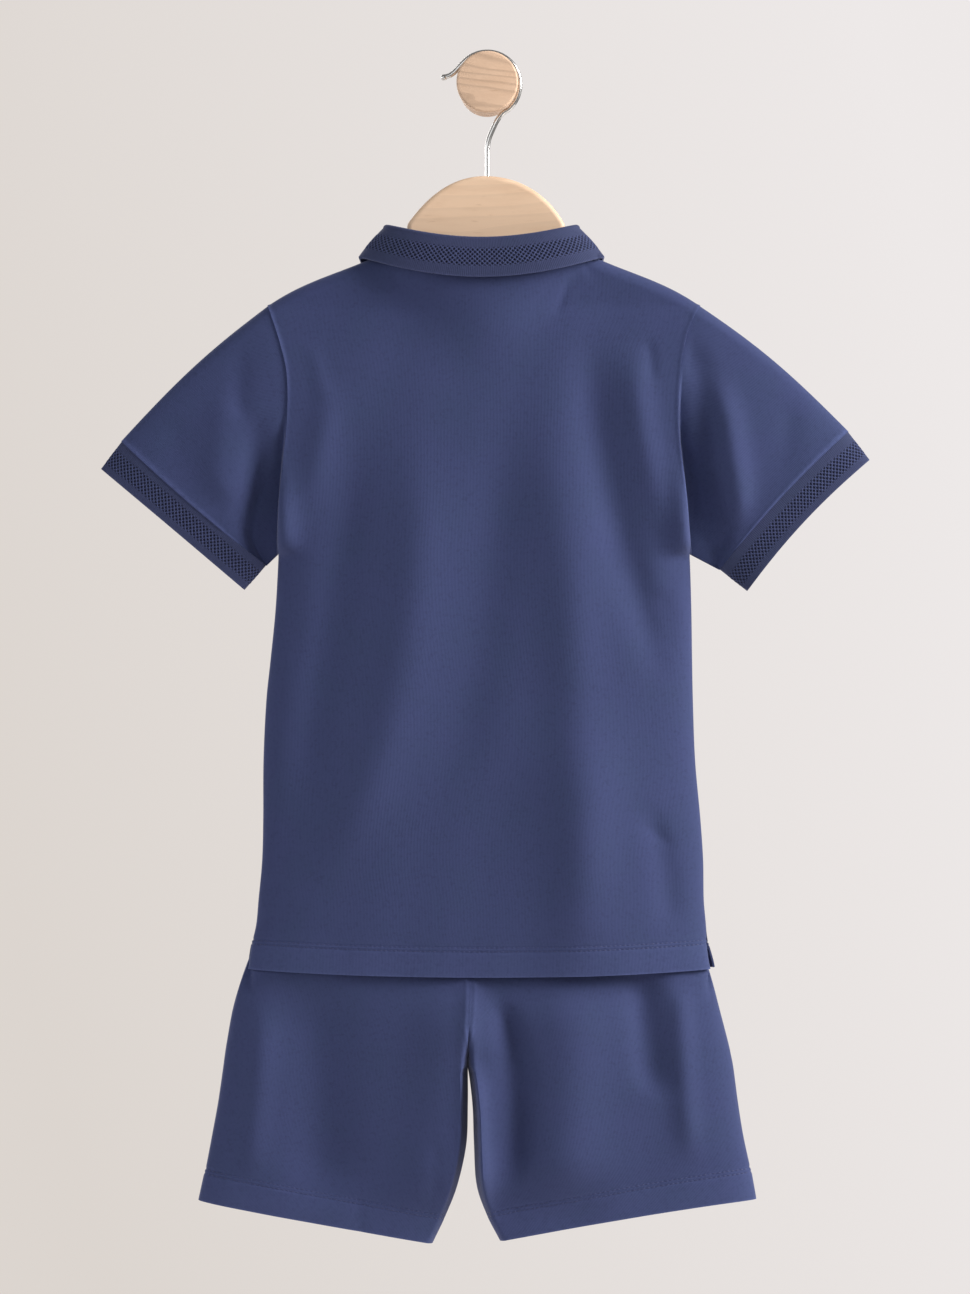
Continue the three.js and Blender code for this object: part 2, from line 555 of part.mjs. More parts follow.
// Rib cuffs
function addCuff(which) {
  const outward = which === "left" ? -1 : 1;
  const { edge, seam } = SLEEVES[which];
  const length = Math.hypot(edge.midX - seam.midX, edge.midZ - seam.midZ);
  const rings = [1 + GAP / length, 1.5, 2].map((s) => insetRing(sleeveRing(which, s), CUFF.step));
  const normals = gridNormals(rings, -outward, true);
  addPiece("cuff_" + which, wallGeometry(rings, normals, RIB, true), fabric(NAVY_RIB));
}

// A ring drawn in on itself by a small step, so the cuff sits under the sleeve's turned edge.
function insetRing(ring, step) {
  const count = ring.length;
  return ring.map((point, k) => {
    const along = new THREE.Vector3().subVectors(ring[(k + 1) % count], ring[(k - 1 + count) % count]);
    const middle = ring.reduce((sum, p) => sum.add(p), new THREE.Vector3()).divideScalar(count);
    const inward = new THREE.Vector3().subVectors(middle, point);
    inward.addScaledVector(along, -inward.dot(along) / along.lengthSq()).normalize();
    return point.clone().addScaledVector(inward, step);
  });
}

// Collar: one folded rib strip, from the neck seam up the stand, over the fold and down to its edge.
// The angle is 0 at the middle of the back and 180 at the middle of the front.
function collarSection(degrees) {
  const angle = THREE.MathUtils.degToRad(degrees);
  const side = Math.abs(degrees) <= 90 ? "back" : "front";
  const open = Math.cos(angle) ** 2;
  const turn = Math.abs(Math.cos(angle));
  const ridge = smooth(turn / COLLAR.ridge);
  const oval = ovalDepth(Math.sin(angle));
  const front = smooth((Math.abs(degrees) - 90) / (COLLAR.endAngle - 90));
  const within = side === "back" ? degrees : Math.sign(degrees) * (180 - Math.abs(degrees));
  const seam = neckSeam(within, side);
  const neckX = seam.x;
  const neckDepth = seam.depth;
  const neckZ = seam.z + (side === "back" ? 2 : 4) * GAP;
  const foldX = COLLAR.x + COLLAR.foldHalf * Math.sin(angle);
  const standOut = side === "back" ? NECK.backDepth + COLLAR.backStand : NECK.frontDepth + COLLAR.frontStand;
  const foldDepth = standOut * oval;
  const drop = side === "back" ? COLLAR.foldDrop * open : COLLAR.foldFrontDrop * open ** NECK.frontCurve;
  const foldZ = COLLAR.foldZ - drop;
  const out = { x: Math.sin(angle), depth: turn };
  const sideAngle = Math.sign(degrees || 1) * Math.min(Math.abs(angle), Math.PI / 2);
  const edgeSideX = COLLAR.x + COLLAR.edgeHalf * Math.sin(sideAngle);
  const edgeX = mix(edgeSideX, Math.sign(degrees) * COLLAR.pointX, front);
  const sweep = mix(COLLAR.edgeZ, COLLAR.pointZ, front ** COLLAR.frontSweep);
  const edgeZ = side === "back" ? COLLAR.edgeZ - COLLAR.edgeDrop * open : sweep;
  const radius = COLLAR.foldRadius;
  const points = [];
  const push = (x, z, depth, resting) => {
    const beside = x - Math.sign(x) * COLLAR.beside;
    const under = Math.max(shirtDepth(x, z, side), shirtDepth(beside, z - COLLAR.beside, side));
    points.push(place(x, z, resting ? Math.max(depth, (under + RIB + COLLAR.clear) * ridge) : depth, side));
  };
  const standX = neckX - out.x;
  const standDepth = Math.max(neckDepth - RIB, 0);
  push(standX, neckZ, standDepth, false);
  const innerX = foldX - out.x * 2 * radius;
  const innerDepth = Math.max(foldDepth - out.depth * 2 * radius, 0);
  const middleX = mix(standX, innerX, STAND_MIDDLE);
  const middleDepth = mix(standDepth, innerDepth, STAND_MIDDLE);
  push(middleX, mix(neckZ, foldZ, 0.5), middleDepth, false);
  push(innerX, foldZ - radius, innerDepth, false);
  for (const { over, drop: below } of COLLAR_FOLD) {
    push(mix(innerX, foldX, over), foldZ - below, mix(innerDepth, foldDepth, over), false);
  }
  push(foldX, foldZ - radius, foldDepth, false);
  const edgeDepth = side === "back" ? (NECK.backDepth + COLLAR.fallDepth) * oval : 0;
  for (const t of FALL_STATIONS) {
    const flare = Math.sin(Math.PI * t) * COLLAR.flare;
    const x = mix(foldX, edgeX, t) + out.x * flare;
    const depth = mix(foldDepth, edgeDepth, t) + out.depth * flare;
    push(x, mix(foldZ - radius, edgeZ, t), depth, true);
  }
  return points;
}

function addCollar() {
  const angles = [-90, 90].flatMap((side) => [side - COLLAR_SHOULDER, side + COLLAR_SHOULDER]);
  for (let k = -COLLAR_STEPS; k <= COLLAR_STEPS; k += 1) angles.push(k * COLLAR_TURN);
  const sections = angles.sort((a, b) => a - b).map(collarSection);
  const normals = gridNormals(sections, -1, false);
  addPiece("collar", wallGeometry(sections, normals, RIB, false), fabric(NAVY_RIB));
}

// Placket strip on the front, made from the front panel's own depth, moved out; then its buttons.
function addPlacket() {
  const rows = [];
  for (let i = 0; i <= PLACKET_ROWS; i += 1) {
    const z = PLACKET.top - (PLACKET.length * i) / PLACKET_ROWS;
    const line = PLACKET_COLUMNS.map((share) => {
      const x = NECK.x + share * PLACKET.width;
      return place(x, z, shirtDepth(x, z, "front") + PLACKET.gap + CLOTH, "front");
    });
    rows.push(line);
  }
  addPiece("placket", wallGeometry(rows, gridNormals(rows, -1, false), CLOTH, false), fabric(NAVY));
  const half = BUTTON.thick / 2;
  const profile = [
    [0, -half], [BUTTON.radius, -half], [BUTTON.radius, half - BUTTON.rim],
    [BUTTON.radius - BUTTON.rim, half], [BUTTON.radius - 3 * BUTTON.rim, half],
    [BUTTON.radius - 4 * BUTTON.rim, half - BUTTON.dish], [0, half - BUTTON.dish],
  ].map(([r, h]) => new THREE.Vector2(r, h));
  for (let k = 0; k < BUTTON_COUNT; k += 1) {
    const z = PLACKET.top - BUTTON.first - k * BUTTON.spacing;
    const seat = (h) => HANG_Y + shirtDepth(NECK.x, h, "front") + PLACKET.gap + CLOTH;
    const lean = Math.atan2(seat(z - BUTTON.radius) - seat(z + BUTTON.radius), 2 * BUTTON.radius);
    const button = addPiece(
      "button_" + (k + 1),
      new THREE.LatheGeometry(profile, BUTTON_SIDES),
      new THREE.MeshStandardMaterial({ color: BUTTON_NAVY, roughness: 0.35, metalness: 0 }),
    );
    button.rotation.x = lean;
    const proud = (seat(z - BUTTON.radius) + seat(z + BUTTON.radius)) / 2;
    button.position.set(NECK.x, Math.max(proud, seat(z)) + GAP + half, z);
  }
}

// Half the depth that is free inside the shirt at one place, its own wall taken off.
function roomInShirt(x, z, side) {
  const nearest = Math.min(...[-ROOM_BESIDE, 0, ROOM_BESIDE].map((step) => shirtDepth(x + step, z, side)));
  return nearest - CLOTH - 2 * GAP;
}

// Half the depth of the shorts, kept inside the shirt where the shirt covers them.
function shortsDepth(row, u, x, z, side) {
  const rise = smooth((z - CROTCH.z) / CROTCH.rise);
  const fromInner = (1 - u) * Math.abs(row.outX - row.inX);
  const opened = 1 - (1 - clamp01((z - CROTCH.z) / CROTCH.round)) ** CROTCH.power;
  const inner = 1 - (1 - quarterRound(fromInner / LEG.innerRound)) * (1 - opened);
  const sides = smooth(u / LEG.foldSide) * smooth((1 - u + rise) / LEG.foldSide);
  const folds = foldsAt(SHORTS_FOLDS[side], x, z) * sides * smooth((LEG.foldTopZ - z) / LEG.foldTopFade);
  const own = (row.depth * legCrown(u, mix(LEG.innerShare, 1, rise)) + folds) * inner;
  if (z < HEM_Z - LEG.freeBelow) return own;
  return Math.max(Math.min(own, roomInShirt(x, Math.max(z, HEM_Z), side)), 0);
}

// A leg's section: 0 at the outer edge, 1 in the middle, and the share of full depth at the inner edge.
function legCrown(u, innerShare) {
  const power = SECTION_POWER;
  const inward = Math.abs(2 * u - 1);
  const share = u < 0.5 ? 0 : innerShare;
  return Math.max(1 - inward ** power * (1 - share ** power), 0) ** (1 / power);
}

function legGrid(which, side) {
  return LEGS[which].map((row) =>
    LEG_COLUMNS.map((u) => {
      const x = mix(row.outX, row.inX, u);
      const z = mix(row.outZ, row.inZ, u ** LEG.hemCurve[which]);
      return place(x, z, shortsDepth(row, u, x, z, side), side);
    }),
  );
}

// Shorts: two backs, two fronts and the waistband
function addShorts() {
  const lastColumn = LEG_COLUMNS.length - 1;
  for (const side of ["back", "front"]) {
    for (const which of ["left", "right"]) {
      const sign = sideSign(side);
      const towardLeft = which === "left" ? -1 : 1;
      const grid = legGrid(which, side);
      const normals = gridNormals(grid, towardLeft * sign, false);
      const crotchRow = LEGS[which].findIndex((row) => row.inZ === CROTCH.z);
      normals.forEach((line, i) => {
        flatten(line[0]);
        if (i >= crotchRow) flatten(line[lastColumn]);
        else line[lastColumn].x = 0;
        line[lastColumn].normalize();
      });
      const trimmed = trimEdges(grid, GAP / 2, (i, j) => {
        const move = new THREE.Vector3();
        if (j === 0) move.y += sign;
        if (j === lastColumn) {
          if (i >= crotchRow) move.y += sign;
          if (i <= crotchRow) move.x += towardLeft;
        }
        if (i === 0) move.z -= 1;
        return move;
      });
      addPiece("shorts_" + side + "_" + which, wallGeometry(trimmed, normals, CLOTH, false), fabric(NAVY));
    }
  }
  addWaistband();
}

function addWaistband() {
  const heights = [WAISTBAND.top, mix(WAISTBAND.top, WAISTBAND.bottom, 0.5), WAISTBAND.bottom];
  const rings = heights.map((z) => {
    const ring = [];
    const add = (u, side) => {
      const taper = (z - WAISTBAND.bottom) * WAISTBAND.taper;
      const x = mix(LEGS.left[0].outX + taper, LEGS.right[0].outX - taper, u);
      const own = LEGS.left[0].depth * crown(u);
      const back = Math.min(own * WAISTBAND.backShare, roomInShirt(x, z, side));
      ring.push(place(x, z, side === "back" ? back : own * WAISTBAND.frontShare, side));
    };
    WAISTBAND_COLUMNS.forEach((u) => add(u, "back"));
    WAISTBAND_COLUMNS.slice(1, -1).reverse().forEach((u) => add(u, "front"));
    return ring;
  });
  addPiece("shorts_waistband", wallGeometry(rings, gridNormals(rings, 1, true), RIB, true), fabric(NAVY));
}

// Hanger: a flat wooden bow with an arched crest, its arms just under the shoulders of the shirt
function addHanger() {
  const armTop = (x) => topEdge(x, "back") - CLOTH - HANGER.clear;
  const neckLeft = NECK.x - NECK.half;
  const neckRight = NECK.x + NECK.half;
  const inset = HANGER.bevel;
  const shape = new THREE.Shape();
  const corner = (x, drop) => ({ x, z: armTop(x) - inset - drop });
  const leftTip = { x: HANGER.leftTipX, z: armTop(HANGER.leftTipX) };
  const rightTip = { x: HANGER.rightTipX, z: armTop(HANGER.rightTipX) };
  const base = HANGER.baseZ + inset;
  const under = HANGER_UNDERSIDE;
  const neck = { left: corner(neckLeft, HANGER.neckDrop), right: corner(neckRight, HANGER.neckDrop) };
  shape.moveTo(leftTip.x + inset, leftTip.z - inset - HANGER.tipDrop);
  shape.lineTo(neck.left.x, neck.left.z);
  for (const { x1, z1, x2, z2, x, z } of [...HANGER_CREST, { ...CREST_END, ...neck.right }]) {
    shape.bezierCurveTo(x1, z1, x2, z2, x, z);
  }
  shape.lineTo(rightTip.x - inset, rightTip.z - inset - HANGER.tipDrop);
  shape.quadraticCurveTo(
    rightTip.x + HANGER.tipOut, rightTip.z - HANGER.tipMiddle,
    rightTip.x - HANGER.tipIn, rightTip.z - HANGER.tipHeight,
  );
  shape.bezierCurveTo(under.rightX, under.tipZ, under.middleX, base, 0, base);
  shape.bezierCurveTo(
    -under.middleX, base, under.leftX, under.tipZ,
    leftTip.x + HANGER.tipIn, leftTip.z - HANGER.tipHeight,
  );
  shape.quadraticCurveTo(
    leftTip.x - HANGER.tipOut, leftTip.z - HANGER.tipMiddle,
    leftTip.x + inset, leftTip.z - inset - HANGER.tipDrop,
  );
  const geometry = new THREE.ExtrudeGeometry(shape, {
    depth: HANGER.thick - 2 * HANGER.bevel,
    curveSegments: 7,
    bevelEnabled: true,
    bevelThickness: HANGER.bevel,
    bevelSize: HANGER.bevel,
    bevelSegments: 2,
  });
  geometry.translate(0, 0, -(HANGER.thick - 2 * HANGER.bevel) / 2);
  const wood = new THREE.MeshStandardMaterial({ color: BEECH, roughness: 0.55, metalness: 0 });
  const hanger = addPiece("hanger_body", geometry, wood);
  hanger.rotation.x = Math.PI / 2;
  hanger.position.y = HANG_Y;
}

// Hook: steel wire from the crest, round the peg and down to its free end
function addHook() {
  const middleZ = PEG.neck + GAP + HOOK.wire - HOOK.radius;
  const arc = [];
  for (let degrees = HOOK.startAngle; degrees <= HOOK.endAngle; degrees += HOOK.step) {
    const angle = THREE.MathUtils.degToRad(degrees);
    arc.push({ x: HOOK.radius * Math.cos(angle), z: middleZ + HOOK.radius * Math.sin(angle) });
  }
  const start = { x: 0, z: HANGER.crestZ + GAP };
  const route = [start, ...HOOK_FOOT, ...arc, ...HOOK_END].map(({ x, z }) => new THREE.Vector3(x, HANG_Y, z));
  const curve = new THREE.CatmullRomCurve3(route, false, "centripetal");
  const section = new THREE.Shape();
  section.absarc(0, 0, HOOK.wire, 0, 2 * Math.PI);
  const geometry = new THREE.ExtrudeGeometry(section, {
    steps: HOOK.steps, curveSegments: HOOK.sides / 2, extrudePath: curve,
  });
  const steel = new THREE.MeshStandardMaterial({ color: STEEL, roughness: 0.25, metalness: 1 });
  addPiece("hanger_hook", geometry, steel);
}

// Peg: a round wooden knob, its flat back on the wall
function addPeg() {
  const front = -HANG_Y + HOOK.wire + PEG.clear;
  const end = front + PEG.thick;
  const profile = [
    [0, 0], [PEG.neck, 0], [PEG.neck, front],
    [PEG.disc - PEG.chamfer, front], [PEG.disc, front + PEG.chamfer],
    [PEG.disc, end - PEG.round], [PEG.disc - 0.45 * PEG.round, end - 0.3 * PEG.round],
    [PEG.disc - PEG.round, end], [0, end],
  ].map(([r, h]) => new THREE.Vector2(r, h));
  const wood = new THREE.MeshStandardMaterial({ color: BEECH, roughness: 0.55, metalness: 0 });
  const peg = addPiece("wall_peg", new THREE.LatheGeometry(profile, PEG.sides), wood);
  peg.rotation.x = Math.PI;
}

addShirt();
addCollar();
addPlacket();
addShorts();
addHanger();
addHook();
addPeg();

export default set;
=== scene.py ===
"""A child's navy polo shirt and shorts on a wooden hanger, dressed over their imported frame."""

import math
from types import SimpleNamespace as Sizes

import bmesh
import bpy
import numpy as np
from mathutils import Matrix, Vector


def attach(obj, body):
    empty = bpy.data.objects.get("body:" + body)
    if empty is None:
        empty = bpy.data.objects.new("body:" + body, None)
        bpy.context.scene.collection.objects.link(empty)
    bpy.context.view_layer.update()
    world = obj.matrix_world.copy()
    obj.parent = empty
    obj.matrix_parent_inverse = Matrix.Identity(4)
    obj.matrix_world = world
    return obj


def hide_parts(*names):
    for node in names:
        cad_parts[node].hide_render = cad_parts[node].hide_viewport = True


bl_info = {
    "name": "Polo shirt and shorts on a hanger",
    "version": (1, 0, 0),
    "blender": (4, 5, 0),
    "location": "3D View > Sidebar > Garment",
    "description": "Builds the knitted pieces, the wood, the wire and the stage round the packed frame",
    "category": "Object",
}

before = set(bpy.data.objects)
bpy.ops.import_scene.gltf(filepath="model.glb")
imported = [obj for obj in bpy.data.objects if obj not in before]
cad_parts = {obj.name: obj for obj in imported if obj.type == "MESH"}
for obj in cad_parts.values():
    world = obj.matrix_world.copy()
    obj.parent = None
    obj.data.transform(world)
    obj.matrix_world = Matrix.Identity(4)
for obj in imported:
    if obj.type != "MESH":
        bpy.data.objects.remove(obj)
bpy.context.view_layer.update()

MM = 0.001
BODY = "root"

# Sizes of the garment, in millimetres, in the frame's own axes. The wall is y = 0 and z is up.
HANG_Y = -34.0
TIP_Z = -147.0
UNDERARM_Z = -311.0
SHOULDER_ROUND = 9.0
UNDERARM_ROUND = 24.0
UNDERARM_FADE = 70.0
EDGE_REACH = 12.0
VENT_TOP_Z = -555.0
VENT_HALF_OPEN = 5.0
VENT_GROW = 24.0
VENT_BACK_RIGHT = 1.3
VENT_BACK_LEFT = 1.0
VENT_FRONT_RIGHT = 2.4
VENT_CURL = 8.0
SAG_TOP_Z = -500.0
LEFT_EDGE_Z = -235.0
HEM_Z = -584.0
HEM_DROP = 4.6
SECTION_POWER = 2.4
NECK_BLEND = 6
SHOULDER_BOW = Sizes(rise=28.0, turn=0.3)
NECK = Sizes(x=-1.8, half=60.5, z=-108.5, back_drop=17.5, back_depth=21.0, front_drop=58.0,
             front_depth=20.0, front_curve=1.15, spread=60.0, soften=40.0, fade_start=10.0, fade=150.0)
CUFF_POWER = 2.2
CUFF_STEP = 0.4
COLLAR = Sizes(x=-3.8, fold_half=65.0, fold_z=-93.4, fold_drop=9.6, fold_front_drop=55.0, fold_radius=2.3,
               edge_half=81.2, edge_z=-114.6, edge_drop=15.0, end_angle=171.0, point_x=35.0,
               point_z=-192.0, clear=0.5, back_stand=4.0, front_stand=3.0, fall_depth=6.0, flare=0.8,
               front_sweep=0.85, beside=3.4, ridge=0.12)
WAIST_TOP_Z = -452.0
WAIST_Z = -484.0
SHORTS_FOLDS_Z = -540.0
SHORTS_SEAM_Z = -560.0
SEAM_WEAR_Z = -612.0
CROTCH_Z = -650.0
CROTCH_RISE = 46.0
CROTCH_ROUND = 34.0
CROTCH_POWER = 2.4
INNER_ROUND = 5.0
LEG_INNER_SHARE = 0.8
LEG_HEM_BEND = {"left": 1.0, "right": 1.25}
SEAT_X = -12.8
PLACKET = Sizes(width=27.0, top=-168.5, length=112.0, gap=0.3)
BUTTON = Sizes(radius=5.0, thick=2.2, spacing=40.0, first=14.0)
HANGER = Sizes(thick=12.0, bevel=3.0, left_tip=-139.0, right_tip=134.0, clear=2.2, neck_drop=2.7,
               crest_z=-61.5, base_z=-112.0, tip_height=13.0)
HOOK = Sizes(wire=1.7, radius=21.5)
PEG = Sizes(neck=18.6, disc=20.3, thick=9.0, round=1.5)
GAP = 0.3
FOLD_STRENGTH = 1.6
CREASE_STRENGTH = 1.5
JERSEY_WALL = 1.2
RIB_WALL = 1.5
SHIRT_HEM = 17.0
SHORTS_HEM = 18.4
STITCH_ROWS = 2.7
BUTTON_HOLE = 1.15
TUCK_DEPTH = 17.0
TUCK_REACH = 46.0
SEAM_STEP_Z = -195.0
CUFF_EDGE = 4.8
CUFF_BAND = 11.4
COLLAR_EDGE = 7.2
COLLAR_BAND = 12.0

# Depths are counted from the hanger's plane, to the room for the back and to the wall for the front.
FACING = {"back": -1, "front": 1}

# Shirt sections: height, left edge, right edge, half depth at the middle and at the armhole.
SHIRT = np.array([
    (-147, -144.7, 140.2, 10, 8.6), (-158, -140.8, 134.5, 12.5, 10.4), (-172, -136.3, 129.9, 14.5, 12.4),
    (-190, -132.1, 127.2, 17, 14.2), (-210, -131.2, 125.7, 19, 16), (-232, -132.3, 126.0, 20.5, 17.4),
    (-254, -134.5, 128.4, 21.8, 18), (-276, -136.6, 130.8, 22.8, 18), (-294, -137.3, 132.2, 23.5, 17),
    (-311, -138.0, 133.8, 24, 16), (-348, -140.1, 135.0, 24.6, 0), (-381, -143.4, 135.5, 25, 0),
    (-407, -146.1, 136.0, 25, 0), (-447, -148.0, 137.5, 25, 0), (-486, -148.2, 141.0, 25, 0),
    (-513, -148.9, 142.8, 25, 0), (-539, -151.3, 143.2, 25, 0), (-555, -152.8, 144.6, 25, 0),
    (-570, -156.2, 145.6, 24.6, 0), (-584, -158.4, 148.3, 24.4, 0),
])
LEFT, RIGHT, DEPTH, ARMHOLE = 1, 2, 3, 4

# Soft folds: three points of the line (x, z), the width and the rise.
SHIRT_FOLDS = {
    "back": [
        (-83, -205, -101, -340, -132, -500, 15, -2.5), (-46, -215, -53, -368, -112, -545, 19, 3.3),
        (8, -215, 4, -330, -28, -480, 20, -2.0), (40, -185, 54, -320, 60, -590, 20, 3.6),
        (66, -155, 92, -315, 122, -405, 13, -2.8), (95, -165, 112, -262, 135, -330, 11, 2.4),
        (104, -470, 118, -520, 122, -560, 10, -1.6), (60, -400, 66, -500, 74, -640, 38, 3.6),
    ],
    "front": [
        (-70, -190, -88, -320, -112, -500, 17, -2.2), (-34, -290, -44, -400, -70, -540, 20, 2.6),
        (6, -300, 12, -400, 16, -520, 17, -1.8), (52, -210, 50, -350, 66, -530, 19, 2.6),
        (88, -180, 96, -300, 112, -450, 14, -2.4),
    ],
}
# Small creases that lie on the folds.
SHIRT_CREASES = {
    "back": [
        (46, -126, 38, -138, 29, -150, 2.6, -2.2), (54, -128, 50, -140, 44, -154, 3.0, -0.9),
        (104, -487, 113, -496, 124, -506, 5.0, -0.5), (-104, -186, -119, -262, -146, -330, 12.0, 2.2),
        (106, -168, 108, -182, 109, -200, 4.0, -1.0),
        (-118, -170, -112, -190, -109, -214, 6.0, 0.8), (-128, -480, -136, -505, -140, -530, 6.0, -0.9),
        (112, -330, 121, -352, 127, -380, 8.0, -1.1), (-122, -330, -128, -356, -131, -388, 8.0, -1.1),
    ],
    "front": [
        (-46, -150, -52, -168, -60, -190, 5.0, -0.9), (58, -150, 63, -170, 72, -196, 5.0, -0.9),
        (-118, -330, -126, -352, -131, -384, 8.0, -1.2), (112, -330, 121, -352, 127, -384, 8.0, -1.2),
    ],
}
SHORTS_FOLDS = {
    "back": [
        (-146, -596, -150, -660, -157, -730, 9, 1.8), (-114, -575, -112, -658, -106, -745, 25, -6.2),
        (-22, -575, -20, -665, -30, -760, 33, 7.0), (4, -588, 18, -658, 14, -730, 9, -3.6),
        (50, -570, 53, -660, 48, -750, 30, 6.8), (98, -570, 105, -625, 112, -672, 11, -3.6),
        (-7, -640, -6, -690, 0, -740, 8, 3.0),
        (126, -575, 129, -645, 134, -715, 8, 2.2),
    ],
    "front": [
        (-128, -580, -132, -650, -138, -735, 12, -2.4), (-84, -560, -80, -650, -76, -748, 16, 2.8),
        (-42, -600, -44, -670, -50, -740, 11, -2.2), (36, -600, 38, -670, 42, -740, 11, -2.2),
        (76, -560, 80, -650, 86, -745, 17, 2.8), (122, -580, 126, -650, 130, -730, 12, -2.4),
    ],
}
SHORTS_CREASES = {
    "back": [
        (-33, -692, -33, -712, -36, -738, 5.0, -0.7),
        (-85, -730, -84, -746, -83, -764, 4.0, -0.5), (4, -600, 22, -640, 30, -668, 6.0, -1.2),
        (-12, -570, -12.5, -622, -13, -676, 7.0, 1.9), (-8.5, -640, -6.0, -690, -3, -762, 7.0, 3.0),
    ],
    "front": [
        (40, -660, 46, -690, 50, -722, 6.0, -1.2), (-38, -660, -44, -690, -52, -722, 6.0, -1.2),
    ],
}
SLEEVE_FOLDS = {
    "left": [
        (-150, -216, -150, -268, -148, -330, 9.0, -6.0), (-170, -196, -176, -232, -176, -284, 12.0, 3.2),
        (-158, -172, -163, -196, -160, -226, 7.0, -2.0), (-206, -216, -206, -244, -200, -278, 9.0, -1.6),
    ],
    "right": [
        (131, -158, 140, -196, 145, -250, 9.0, -3.0),
        (150, -186, 160, -240, 166, -300, 10.0, 5.0), (198, -204, 200, -236, 196, -272, 9.0, -1.6),
    ],
}

# Sleeve outlines: the cuff's seam and its open edge, from the top fold to the underarm seam (x, z).
# Then the shirt's edge it is sewn to, the phase of its unevenness, and its tuck's top and how far that grows.
SLEEVES = {
    "left": dict(seam=((-241.6, -236.2), (-191.6, -281.3), (-145.6, -318.4)),
                 edge=((-255.2, -254.2), (-206.8, -294.6), (-159.9, -334.6)),
                 column=LEFT, phase=1.3, tuck=(-216, 62)),
    "right": dict(seam=((238.4, -229.8), (193.4, -273.6), (153.2, -321.2)),
                  edge=((252.6, -248.2), (208.4, -289.6), (171.2, -335.4)),
                  column=RIGHT, phase=4.1, tuck=(-186, 76)),
}
SLEEVE_CROWN = 5.0
SLEEVE_SEAM_DEPTH = 14.0
SLEEVE_EDGE_DEPTH = 12.5

# Shorts sections of each leg: outer edge (x, z), inner edge (x, z), half depth.
LEGS = {
    "left": np.array([
        (-118.5, -484, -6.5, -484, 23.4), (-134, -520, -8, -520, 21), (-149, -558, -9.6, -558, 19),
        (-157.5, -578, -10.3, -578, 18), (-163.5, -595, -10.9, -595, 18.5), (-168.2, -612, -11.6, -614, 20),
        (-171.8, -632, -12.3, -633, 21), (-173.2, -641, -12.7, -642, 21), (-174.4, -650, -13, -650, 21),
        (-177.6, -672, -12.8, -674, 20.5), (-181.6, -694, -13.8, -700, 20), (-185.6, -715, -19.4, -726, 19),
        (-188.4, -728, -26.6, -745, 18), (-190.3, -736.7, -35.8, -764.4, 17.5),
    ]),
    "right": np.array([
        (108.5, -484, -6.5, -484, 23.4), (123.5, -520, -8, -520, 21), (138, -558, -9.6, -558, 19),
        (144.2, -578, -10.3, -578, 18), (149.2, -595, -10.9, -595, 18.5), (153.6, -612, -11.6, -614, 20),
        (158.8, -632, -12.3, -633, 21), (160.8, -641, -12.7, -642, 21), (162.5, -650, -12.4, -650, 21),
        (165.4, -672, -9.8, -674, 20.5), (168.9, -694, -8.8, -700, 20), (173.4, -715, -7.2, -726, 19),
        (175.8, -728, -1, -745, 18), (177.2, -736, 8.1, -762.8, 17.5),
    ]),
}


# Curves and tables
def mix(a, b, t):
    return a + (b - a) * t


def smooth(t):
    t = np.clip(t, 0, 1)
    return t * t * (3 - 2 * t)


def quarter_round(t):
    return np.sqrt(1 - (1 - np.clip(t, 0, 1)) ** 2)


def bell(t):
    return np.exp(-(t ** 2))


def through(keys, values, at):
    """A smooth curve through the rows of a table, keys falling or rising."""
    keys, values, at = np.asarray(keys, float), np.asarray(values, float), np.asarray(at, float)
    if keys[0] > keys[-1]:
        keys, at = -keys, -at
    rows = np.arange(len(keys))
    lower, upper = np.maximum(rows - 1, 0), np.minimum(rows + 1, len(keys) - 1)
    slope = (values[upper] - values[lower]) / (keys[upper] - keys[lower])
    at = np.clip(at, keys[0], keys[-1])
    i = np.clip(np.searchsorted(keys, at, side="right") - 1, 0, len(keys) - 2)
    step = keys[i + 1] - keys[i]
    t, rise = (at - keys[i]) / step, values[i + 1] - values[i]
    start, end = slope[i] * step, slope[i + 1] * step
    return values[i] + t * (start + t * (3 * rise - 2 * start - end + t * (start + end - 2 * rise)))


def shirt_size(column, z):
    return through(SHIRT[:, 0], SHIRT[:, column], z)


def crown(u, inner_share=0.0):
    """Rounded section: 0 at the outer edge, 1 in the middle, inner_share at the inner edge."""
    reach = np.abs(2 * np.clip(u, 0, 1) - 1)
    share = np.where(u < 0.5, 0.0, inner_share)
    return np.maximum(1 - reach ** SECTION_POWER * (1 - share ** SECTION_POWER), 0) ** (1 / SECTION_POWER)


def folds_at(folds, x, z):
    total = np.zeros(np.broadcast(x, z).shape)
    for x0, z0, x1, z1, x2, z2, width, rise in folds:
        t = (z - z0) / (z2 - z0)
        m = (z1 - z0) / (z2 - z0)
        bow = (x1 - mix(x0, x2, m)) / (m * (1 - m))
        line = mix(x0, x2, t) + bow * t * (1 - t)
        taper = smooth(t / 0.3) * smooth((1 - t) / 0.25)
        total += rise * taper * bell((x - line) / width)
    return total


def drift(x, z, phase):
    """Slow unevenness of hanging cloth, about -1 to 1."""
    return (np.sin(x * 0.071 + z * 0.013 + phase) * np.sin(z * 0.027 - x * 0.019 + 2.1 * phase)
            + 0.5 * np.sin(x * 0.143 - z * 0.031 + 3.3 * phase)) / 1.5


# The shirt as half a depth over its front view
def oval(across):
    return np.sqrt(1 - np.minimum(np.abs(across), 1) ** 3)


